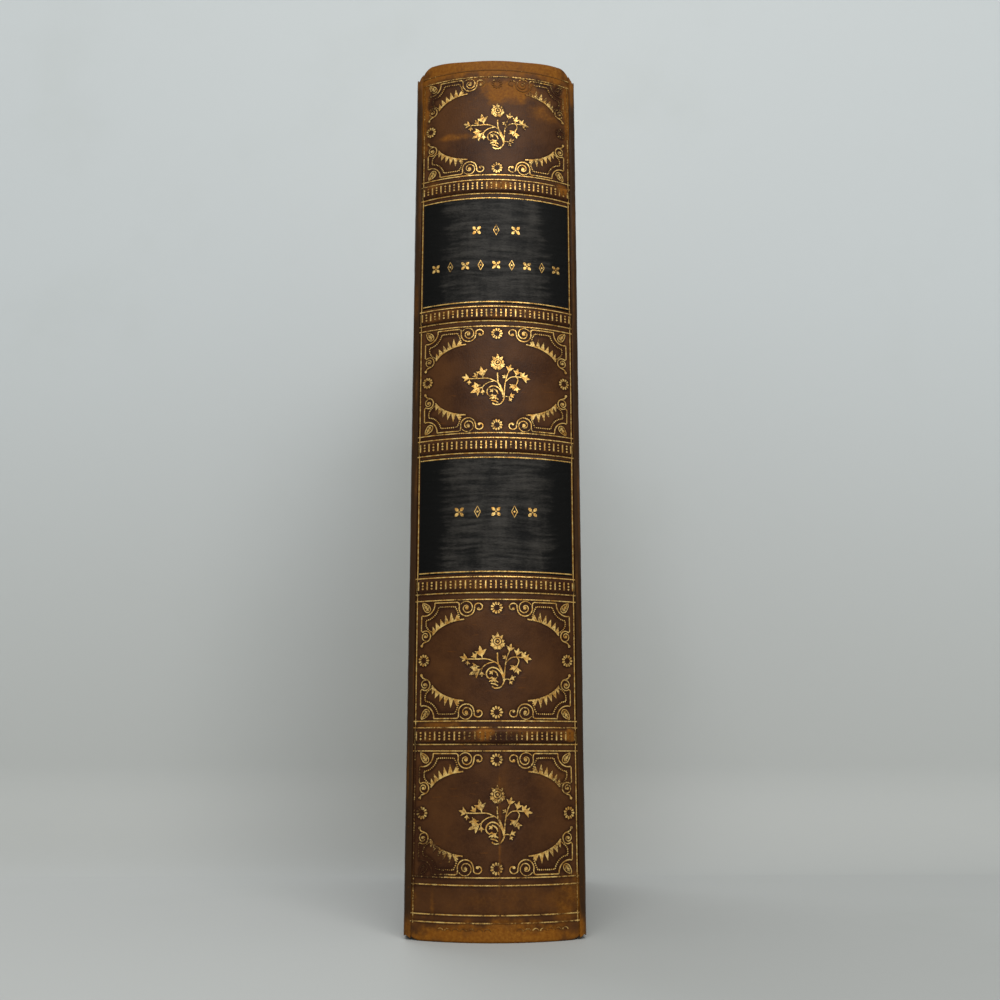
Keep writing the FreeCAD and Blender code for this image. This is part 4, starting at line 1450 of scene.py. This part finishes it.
@dataclass
class Labels:
    """The two black labels, their grain pressed in ridges that run across the spine."""

    plan: SpinePlan
    step: float = 0.24
    foot: float = 0.12
    sink: float = 0.12
    edge_width: float = 0.8
    ridge_height: float = 0.05

    def build(self) -> None:
        """Make both labels."""
        for number, (name, (low, high)) in enumerate(zip(("lower_label", "upper_label"), self.plan.labels)):
            self.build_one(name, low, high, SmoothNoise(SEED + 20 + number))

    def build_one(self, name: str, low: float, high: float, noise: SmoothNoise) -> None:
        """Make one label as a closed sheet.

        Args:
            name: the node that it stands for.
            low, high: the heights of its lower and upper edge.
            noise: the noise of its grain.
        """
        half = self.plan.label_half_width
        across = np.linspace(-half, half, int(2 * half / (self.step * 1.6)))
        up = np.linspace(low, high, int((high - low) / self.step))
        u, z = np.meshgrid(across, up, indexing="ij")
        near = np.minimum(half - np.abs(u), np.minimum(z - low, high - z))
        edge = 1 - ramp(near, 0, self.edge_width)
        wander = z + 0.7 * noise.at(u, z, 11, 6)
        ridge = noise.at(u, wander, 6.5, 0.55) * 0.6 + noise.at(u + 50, wander, 2.6, 0.3) * 0.4
        top = self.plan.label_lift + self.ridge_height * ridge * (1 - edge) - self.foot * edge ** 2
        bottom = np.full(u.shape, -self.sink)
        points = np.concatenate([self.plan.place(u, z, top).reshape(-1, 3),
                                 self.plan.place(u, z, bottom).reshape(-1, 3)])
        flat = np.concatenate([np.stack([u, z, top], -1).reshape(-1, 3)] * 2)
        # Painted shade towards the label's sides, where its painted sheen gives way.
        darker = ramp(np.abs(u) + 1.2 * noise.at(u, z, 7, 5), half - 9.5, half - 1.0)
        marks = {"ridge": np.tile(np.clip(ridge.ravel() * 0.5 + 0.5, 0, 1), 2),
                 "edge": np.tile(darker.ravel(), 2)}
        piece = make_piece(name + "_leather", points, sheet_faces(*u.shape), LABEL, "book",
                           flat, marks, 60)
        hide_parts(name)


def rounded_block(lines: tuple[np.ndarray, np.ndarray, np.ndarray], radius: float
                  ) -> tuple[np.ndarray, np.ndarray]:
    """Return a box whose faces are grids and whose edges are round.

    Args:
        lines: where the grid lines lie along x, y and z, from the lowest to the highest.
        radius: the radius of the edges.

    Returns:
        Its points and its faces.
    """
    low = np.array([line[0] for line in lines])
    high = np.array([line[-1] for line in lines])
    numbers: dict[tuple[int, int, int], int] = {}
    points, faces = [], []

    def number(index: tuple[int, int, int]) -> int:
        """Return the number of a point of the surface grid, which is added if it is new.

        Args:
            index: the numbers of its grid lines along x, y and z.

        Returns:
            The point's number.
        """
        if index not in numbers:
            numbers[index] = len(points)
            points.append([lines[axis][index[axis]] for axis in range(3)])
        return numbers[index]
    for axis in range(3):
        one, other = (axis + 1) % 3, (axis + 2) % 3
        for end in (0, len(lines[axis]) - 1):
            for i in range(len(lines[one]) - 1):
                for j in range(len(lines[other]) - 1):
                    quad = []
                    for di, dj in ((0, 0), (1, 0), (1, 1), (0, 1)):
                        index = [0, 0, 0]
                        index[axis], index[one], index[other] = end, i + di, j + dj
                        quad.append(number(tuple(index)))
                    faces.append(quad if end else quad[::-1])
    found = np.array(points, float)
    core = np.clip(found, low + radius, high - radius)
    away = found - core
    length = np.linalg.norm(away, axis=1, keepdims=True)
    outside = length > 1e-9
    found = np.where(outside, core + away / np.maximum(length, 1e-9) * radius, found)
    return found, np.array(faces)


@dataclass
class Cover:
    """One cover: a board in calf, with a pasted endpaper inside.

    Args:
        plan: the spine.
        side: which cover it is.
        edge_radius: of its edges.
        rule_places, rule_depth, rule_width: the double line pressed round it, from its edges.
        fine, coarse, fine_reach: from one grid line to the next near an edge and elsewhere, and how far in
            from the edge the fine ones go.
        joint_clear: how far the calf stops short of the joint.
        corner_sink, corner_round: how much a worn corner loses on its face and on its edge.
        fall_share, fall_reach, fall_height: the share of the joint's fall that it takes beside the joint, how
            far over the cover that goes, and how far down.
    """

    plan: SpinePlan
    side: Side
    edge_radius: float = 0.9
    rule_places: tuple = (3.2, 4.6)
    rule_depth: float = 0.10
    rule_width: float = 0.25
    fine: float = 0.4
    coarse: float = 2.2
    fine_reach: float = 6.4
    joint_clear: float = 0.02
    corner_sink: float = 0.35
    corner_round: float = 0.5
    fall_share: float = 0.35
    fall_reach: float = 7.5
    fall_height: float = 14

    def __post_init__(self) -> None:
        """Read the cover's place."""
        self.body = f"{self.side.label}_cover"
        self.low, self.high = box_mm(f"{self.side.label}_cover_leather")
        self.paper_low, self.paper_high = box_mm(f"{self.side.label}_pastedown")

    def edge_lines(self, low: float, high: float, fine_start: bool) -> np.ndarray:
        """Return grid lines that lie close together near the edges.

        Args:
            low, high: where the first and the last line lie.
            fine_start: whether the lines near low lie close together too.

        Returns:
            The places of the lines.
        """
        start = low + self.fine_reach if fine_start else low
        end = high - self.fine_reach
        near = np.arange(low, start, self.fine) if fine_start else np.empty(0)
        return np.concatenate([near, np.linspace(start, end, int((end - start) / self.coarse)),
                               np.arange(end + self.fine, high - self.fine / 2, self.fine), [high]])

    def build(self) -> None:
        """Make the calf skin of the board and the pasted endpaper."""
        low, high, sign = self.low, self.high, self.side.value
        lines = (np.linspace(low.x, high.x, 8), self.edge_lines(low.y + self.joint_clear, high.y, False),
                 self.edge_lines(low.z, high.z, True))
        points, faces = rounded_block(lines, self.edge_radius)
        x, y, z = points.T
        noise = SmoothNoise(SEED + 40 + sign)
        outer = ramp(x * sign, 19.0, 20.6)
        from_edge = np.minimum(high.y - y, np.minimum(z - low.z, high.z - z))
        corner = ramp(np.hypot(np.maximum(0, 9 - (high.y - y)), np.maximum(0, 9 - np.minimum(z, high.z - z))),
                      8.2, 12.5)
        rules = outer * sum(np.exp(-((from_edge - place) / self.rule_width) ** 2)
                            for place in self.rule_places)
        rules = np.where(y > low.y + 4, rules, 0)
        waves = 0.10 * noise.at(y, z, 24, 30) + 0.025 * noise.at(y, z, 3, 3) - 0.12
        x = x + sign * outer * (waves - self.rule_depth * rules - self.corner_sink * corner)
        dents = 0.06 * (1 + noise.at(z, x, 5, 5))
        y = (y - self.corner_round * corner * ramp(y, high.y - 3, high.y)
             - dents * ramp(y, high.y - 1.5, high.y))
        fall = self.fall_share * self.plan.joint_fall * (1 - ramp(y, low.y, low.y + self.fall_reach))
        z = z + fall * (self.plan.tail_share * (1 - ramp(z, 0, self.fall_height))
                        - ramp(z, high.z - self.fall_height, high.z))
        points = np.stack([x, y, z], -1)
        worn = ramp(1.6 - from_edge + 1.2 * noise.at(y, z, 5, 5), 0, 1.8) * 0.8 + corner
        worn = worn * outer + (1 - outer) * ramp(1.2 - from_edge, 0, 1) * 0.5
        worn = np.maximum(worn, 0.55 * ramp(noise.at(y, z, 17, 21), 0.45, 0.95) * outer)
        # The pressed rules are painted darker too: painted shade in the pressed lines.
        marks = {"worn": np.clip(worn, 0, 1.2), "tooled": np.clip(rules, 0, 1)}
        flat = np.stack([y, z, x], -1)
        label = self.side.label
        skin = make_piece(f"{label}_cover_calf", points, faces, CALF, self.body,
                          flat, marks, 50)
        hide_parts(f"{label}_cover_leather")
        self.build_endpaper(noise)

    def build_endpaper(self, noise: SmoothNoise) -> None:
        """Make the pasted endpaper, slightly uneven over the turned-in calf.

        Args:
            noise: the noise of the cover.
        """
        low, high, sign = self.paper_low, self.paper_high, self.side.value
        lines = (np.array([low.x, high.x]), np.linspace(low.y, high.y, 60), np.linspace(low.z, high.z, 96))
        points, faces = rounded_block(lines, 0.04)
        x, y, z = points.T
        face = min(abs(low.x), abs(high.x))
        inner = ramp(-x * sign, -(face + 0.1), -face)
        from_edge = np.minimum(high.y - y, np.minimum(z - low.z, high.z - z))
        step = 0.05 * ramp(from_edge, 11.5, 12.5)
        x = x + sign * inner * (step + 0.02 * (1 + noise.at(y, z, 9, 12)))
        flat = np.stack([y, z, x], -1)
        piece = make_piece(f"{self.side.label}_pasted_endpaper", np.stack([x, y, z], -1), faces, ENDPAPER,
                           self.body, flat)
        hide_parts(f"{self.side.label}_pastedown")


@dataclass
class JointCalf:
    """The calf of a joint: it runs from the side of the spine round onto the cover.

    Args:
        plan: the spine.
        side: which cover it belongs to.
        thickness, edge_thickness: of the strip, and of its pared edges.
        reach_on_spine, reach_on_cover: how far it lies on the spine and on the cover.
        stand_off: how far its middle lies over the spine.
        bend: places of its bend, each as how far out of the cover's face and how far along it from the hinge.
        foot, head_gap, spine_gap: how far it stops short at the tail, at the head, and beside the head cap.
        levels: how many rows of points it has.
        bend_reach: how far before and behind the hinge it bends; not used.
    """

    plan: SpinePlan
    side: Side
    thickness: float = 0.28
    edge_thickness: float = 0.03
    reach_on_spine: float = 1.5
    reach_on_cover: float = 7.0
    stand_off: float = 0.06
    bend: tuple = ((-0.12, -0.95), (-0.02, -0.5), (0.02, 0.0), (-0.1, 0.6), (-0.12, 1.3), (0.0, 2.1))
    foot: float = 0.2
    head_gap: float = 0.35
    spine_gap: float = 0.25
    levels: int = 300
    bend_reach: float = 1.0

    def build(self) -> None:
        """Make the strip."""
        plan, sign = self.plan, self.side.value
        joint = next(j for j in frame["joints"] if j["child"] == f"{self.side.label}_cover")
        hinge = Vector(joint["pos_m"]) / METRES
        face = abs(hinge.x)
        angles = np.linspace((plan.half_width - self.reach_on_spine) / plan.radius,
                             plan.half_width / plan.radius, 8)
        reach = plan.radius + self.stand_off
        on_spine = [(reach * math.sin(a), plan.axis_y - reach * math.cos(a)) for a in angles]
        bend = [(face + out, hinge.y + along) for out, along in self.bend]
        on_cover = [(face + 0.02 - 0.1 * ramp(d, 5.0, self.reach_on_cover), hinge.y + d)
                    for d in np.linspace(2.8, self.reach_on_cover, 9)]
        path = np.array(on_spine + bend + on_cover)
        along = np.gradient(path, axis=0)
        along /= np.linalg.norm(along, axis=1, keepdims=True)
        normal = np.stack([along[:, 1], -along[:, 0]], -1)
        share = np.linspace(0, 1, len(path))
        thick = self.thickness * np.minimum(1, 6 * np.minimum(share, 1 - share)) + self.edge_thickness
        noise = SmoothNoise(SEED + 60 + sign)
        levels = np.linspace(self.foot, plan.height + plan.cap_crown + plan.cap_shoulder, self.levels)
        index = np.arange(len(path))
        n, z = np.meshgrid(index, levels, indexing="ij")
        end_drop = plan.joint_fall * (1 - ramp(path[n, 1] - hinge.y, 0.5, 8)) + self.head_gap
        over_spine = (plan.corner_drop(plan.radius * angles) - plan.cap_crown - plan.cap_shoulder
                      + self.spine_gap)
        end_drop[:len(angles)] = over_spine[:, None]
        z = np.clip(z, plan.tail_share * np.maximum(end_drop, 0) + self.foot, plan.height - end_drop)
        ridges = 0.05 * noise.at(n * 1.0, z, 1.4, 22) + 0.03 * noise.at(n * 1.0, z, 2.0, 2.0)
        top = path[n] + normal[n] * (thick[n] * 0.5 + ridges)[..., None]
        low = path[n] - normal[n] * (thick[n] * 0.5)[..., None]
        outer = np.concatenate([top * [sign, 1], z[..., None]], -1).reshape(-1, 3)
        inner = np.concatenate([low * [sign, 1], z[..., None]], -1).reshape(-1, 3)
        faces = sheet_faces(*n.shape)
        if sign < 0:
            faces = [face[::-1] for face in faces]
        flat = np.stack([n * 0.5 + 21, z, n * 0.0], -1).reshape(-1, 3)
        ends = (1 - ramp(z, 0, 9)) + ramp(z, plan.height - 14, plan.height)
        rubbed = 0.35 * ramp(noise.at(n * 1.0, z, 3, 12), 0.1, 0.8) + 0.75 * ends
        # Painted shade along the strip where it turns round the spine and lies in the joint's crease, fading
        # out on the cover.
        marks = {"joint": np.tile(1 - ramp(share, 0.72, 0.95)[n].ravel(), 2),
                 "worn": np.tile(rubbed.ravel(), 2)}
        piece = make_piece(f"{self.side.label}_joint_calf", np.concatenate([outer, inner]), faces, CALF,
                           None, np.concatenate([flat, flat]), marks, 60)
        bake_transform(piece)


@dataclass
class Leaves:
    """The sewn leaves: one block whose edges show the single sheets.

    Args:
        plan: the spine.
        sheets, gather: how many sheets show, and how many of them are folded together.
        hollow: how deep the fore-edge is curved in.
        side_gap, back_gap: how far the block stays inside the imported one.
    """

    plan: SpinePlan
    sheets: int = 150
    gather: int = 6
    hollow: float = 5.6
    side_gap: float = 0.02
    back_gap: float = 0.05

    def build(self) -> None:
        """Make the block as thin steps from one side to the other."""
        low, high = box_mm("text_block")
        rng = np.random.default_rng(SEED + 80)
        half = high.x - self.side_gap
        back_radius = self.plan.axis_y - low.y
        edges = np.linspace(-half, half, self.sheets + 1)
        gathers = self.sheets // self.gather + 1
        fore = np.repeat(rng.uniform(-0.18, 0.05, gathers), self.gather)[:self.sheets]
        fore = fore + rng.uniform(-0.22, 0.0, self.sheets)
        head = 0.5 * np.repeat(rng.uniform(-0.1, 0.0, gathers), self.gather)[:self.sheets]
        head = head + rng.uniform(-0.1, 0.0, self.sheets)
        tail = rng.uniform(-0.1, 0.0, self.sheets)
        shoulder = box_mm("front_flyleaf")[0].y
        sections, count = [], 0
        for number in range(self.sheets):
            for x in (edges[number], edges[number + 1]):
                middle = (edges[number] + edges[number + 1]) / 2
                back = self.plan.axis_y - math.sqrt(max(back_radius ** 2 - x * x, 0)) + self.back_gap
                back = min(back, shoulder)
                front = high.y - self.hollow * (1 - (middle / half) ** 2) + fore[number]
                top, bottom = high.z + head[number], low.z - tail[number]
                section = self.section(back, front, bottom, top)
                count = len(section)
                sections.append(np.column_stack([np.full(count, x), section]))
        points = np.vstack(sections)
        faces = tube_faces(len(sections), count, True)
        flat = np.stack([points[:, 0] * 3, points[:, 1] * 0.25, points[:, 2] * 0.25], -1)
        piece = make_piece("sewn_leaves", points, faces, PAGES, "book", flat, None, 20)
        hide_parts("text_block")

    @staticmethod
    def section(back: float, front: float, bottom: float, top: float) -> np.ndarray:
        """Return the outline of one sheet.

        Args:
            back, front: where it starts and ends along y.
            bottom, top: where it starts and ends along z.

        Returns:
            One row of y and z for each point.
        """
        steps = np.linspace(0, 1, 12)[:-1]
        tops = [(front + (back - front) * s, top) for s in steps]
        backs = [(back, top + (bottom - top) * s) for s in steps]
        bottoms = [(back + (front - back) * s, bottom) for s in steps]
        fronts = [(front, bottom + (top - bottom) * s) for s in steps]
        return np.array(tops + backs + bottoms + fronts)


@dataclass
class Endband:
    """Silk wound round a cord at the head or the tail of the back."""

    plan: SpinePlan
    name: str
    turns: int = 44
    ring: int = 14

    def build(self) -> None:
        """Make the wound silk."""
        low, high = box_mm(self.name + "_silk")
        centre_z = (low.z + high.z) / 2
        radius = (high.z - low.z) / 2
        reach = self.plan.axis_y - low.y - radius
        half_angle = math.asin(high.x / (reach + radius)) - 0.005
        steps = self.turns * 6
        share = np.linspace(0, 1, steps + 1)
        phase = (share * self.turns) % 1
        bulge = radius * (0.86 + 0.16 * np.sqrt(np.clip(np.sin(np.pi * phase), 0, 1)))
        sections = []
        for index, s in enumerate(share):
            angle = -half_angle + 2 * half_angle * s
            end = 1 - 0.5 * (ramp(s, 0.985, 1) + 1 - ramp(s, 0, 0.015))
            turn = np.linspace(0, 2 * math.pi, self.ring, endpoint=False)
            size = bulge[index] * end
            out = reach + size * np.cos(turn)
            slant = 0.012 * np.sin(turn)
            sections.append(np.stack([out * np.sin(angle + slant),
                                      self.plan.axis_y - out * np.cos(angle + slant),
                                      centre_z + size * np.sin(turn)], -1))
        stripe = np.repeat(((share * self.turns / 2).astype(int) % 2).astype(float), self.ring)
        faces = tube_faces(len(sections), self.ring)
        piece = make_piece(self.name + "_silk_turns", np.vstack(sections), faces, SILK,
                           "book", None, {"stripe": stripe}, 80)
        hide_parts(self.name + "_silk")


class InnerParts:
    """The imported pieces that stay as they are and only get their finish."""

    FINISHES = {"sewing_cord": HEMP, "band_strip": CARD, "mull": MULL, "spine_hollow": LINING,
                "headband_core": HEMP, "tailband_core": HEMP, "front_flyleaf": ENDPAPER,
                "back_flyleaf": ENDPAPER, "front_board": PASTEBOARD, "back_board": PASTEBOARD,
                "front_infill": LINING, "back_infill": LINING}

    def dress(self) -> None:
        """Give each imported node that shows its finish."""
        for name, node in frame["nodes"].items():
            for start, finish in self.FINISHES.items():
                if name.startswith(start):
                    self.dress_one(node, finish)

    @staticmethod
    def dress_one(node: bpy.types.Object, finish: Finish) -> None:
        """Set a node's finish and the places that it follows.

        Args:
            node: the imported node.
            finish: the finish that it gets.
        """
        points = np.array([vertex.co for vertex in node.data.vertices], np.float32) / METRES
        carry(node.data, "flat", points[:, (1, 2, 0)])
        node.data.materials.clear()
        node.data.materials.append(finish.material())
        log.info("%s: dressed", node.name)


@dataclass
class Studio:
    """The pale board, the camera and the lights.

    Args:
        camera_place: where the camera stands, in millimetres.
        tilt, yaw: where it looks, in degrees up and to the right of +Y.
        focal_pixels, image_pixels: its focal length and the picture's width, in pixels of the photograph.
        backdrop_y, cove: where the board starts to curve up behind the book, and the radius of the curve.
        reach: how far the board goes on.
        underside: how far the floor behind the curve lies under the book's foot.
        aim_height: the height that the lights point at, in metres.
    """

    camera_place: tuple = (-5.07, -351.65, 42.01)
    tilt: float = 12.213
    yaw: float = 1.238
    focal_pixels: float = 1171.3
    image_pixels: float = 1000.0
    backdrop_y: float = 74.0
    cove: float = 38.0
    reach: float = 1500.0
    underside: float = 0.4
    aim_height: float = 0.11

    def build(self) -> None:
        """Set up everything round the book."""
        self.build_backdrop()
        self.build_camera()
        self.build_lights()

    def build_backdrop(self) -> None:
        """Make the pale board that curves up behind the book, and the floor behind it."""
        turns = np.radians(np.linspace(0, 90, 25))
        path = [(-self.reach, 0.0)] + [(self.backdrop_y + self.cove * math.sin(a),
                                        self.cove - self.cove * math.cos(a)) for a in turns]
        path.append((self.backdrop_y + self.cove, self.reach))
        points = [(x, y, z) for y, z in path for x in (-self.reach, self.reach)]
        wall = [0.0 if y <= self.backdrop_y else 1.0 for y, z in path for _ in (0, 1)]
        faces = [[2 * i, 2 * i + 1, 2 * i + 3, 2 * i + 2] for i in range(len(path) - 1)]
        start = len(points)
        points += [(x, y, -self.underside) for x, y in (
            (-self.reach, self.backdrop_y), (self.reach, self.backdrop_y),
            (self.reach, self.reach), (-self.reach, self.reach))]
        wall += [0.0] * 4
        faces.append([start, start + 1, start + 2, start + 3])
        mesh = bpy.data.meshes.new("pale_board")
        mesh.from_pydata((np.array(points) * METRES).tolist(), [], faces)
        carry(mesh, "flat", np.array(points))
        carry(mesh, "wall", np.array(wall))
        mesh.shade_smooth()
        mesh.materials.append(Backdrop("pale_board_finish").material())
        board = bpy.data.objects.new("pale_board", mesh)
        bpy.context.scene.collection.objects.link(board)

    def build_camera(self) -> None:
        """Set the camera where the photograph was taken from."""
        tilt, yaw = math.radians(self.tilt), math.radians(self.yaw)
        forward = Vector((math.sin(yaw) * math.cos(tilt), math.cos(yaw) * math.cos(tilt), math.sin(tilt)))
        right = Vector((math.cos(yaw), -math.sin(yaw), 0))
        up = right.cross(forward)
        data = bpy.data.cameras.new("camera")
        data.sensor_width = 36.0
        data.lens = data.sensor_width * self.focal_pixels / self.image_pixels
        camera = bpy.data.objects.new("camera", data)
        turn = Matrix((right, up, -forward)).transposed().to_4x4()
        camera.matrix_world = Matrix.Translation(Vector(self.camera_place) * METRES) @ turn
        bpy.context.scene.collection.objects.link(camera)
        bpy.context.scene.camera = camera

    def add_light(self, name: str, place: tuple[float, float, float], size: float, power: float,
                  colour: tuple[float, float, float]) -> None:
        """Hang one large soft light that points at the book.

        Args:
            name: the light's name.
            place: where it hangs, in metres.
            size: the side of its square.
            power: its power in watts.
            colour: its colour.
        """
        data = bpy.data.lights.new(name, "AREA")
        data.energy, data.size, data.color = power, size, colour
        light = bpy.data.objects.new(name, data)
        light.location = place
        aim = Vector((0, 0, self.aim_height)) - Vector(place)
        light.rotation_mode = "QUATERNION"
        light.rotation_quaternion = aim.to_track_quat("-Z", "Y")
        bpy.context.scene.collection.objects.link(light)

    def build_lights(self) -> None:
        """Hang the lights and set the even light of the room."""
        self.add_light("soft_window", (0.08, -1.05, 0.85), 1.0, 16.5, (1.0, 0.985, 0.965))
        self.add_light("fill_behind", (-0.5, 1.1, 0.9), 1.0, 7, (0.97, 0.985, 1.0))
        world = bpy.data.worlds.new("room")
        world.use_nodes = True
        room = world.node_tree.nodes["Background"]
        room.inputs["Color"].default_value = srgb(236, 240, 240)
        room.inputs["Strength"].default_value = 0.37
        bpy.context.scene.world = world
        bpy.context.scene.view_settings.view_transform = "Standard"


def main() -> None:
    """Build the studio and the book."""
    logging.basicConfig(level=logging.INFO, format="%(message)s")
    Studio().build()
    plan = SpinePlan()
    worn = WornCalf()
    gilding = Gilding(plan)
    SpineCalf(plan).build(gilding, worn)
    gilding.build(worn)
    Labels(plan).build()
    for side in Side:
        Cover(plan, side).build()
        JointCalf(plan, side).build()
    Leaves(plan).build()
    for name in ("headband", "tailband"):
        Endband(plan, name).build()
    InnerParts().dress()


if __name__ == "__main__":
    main()
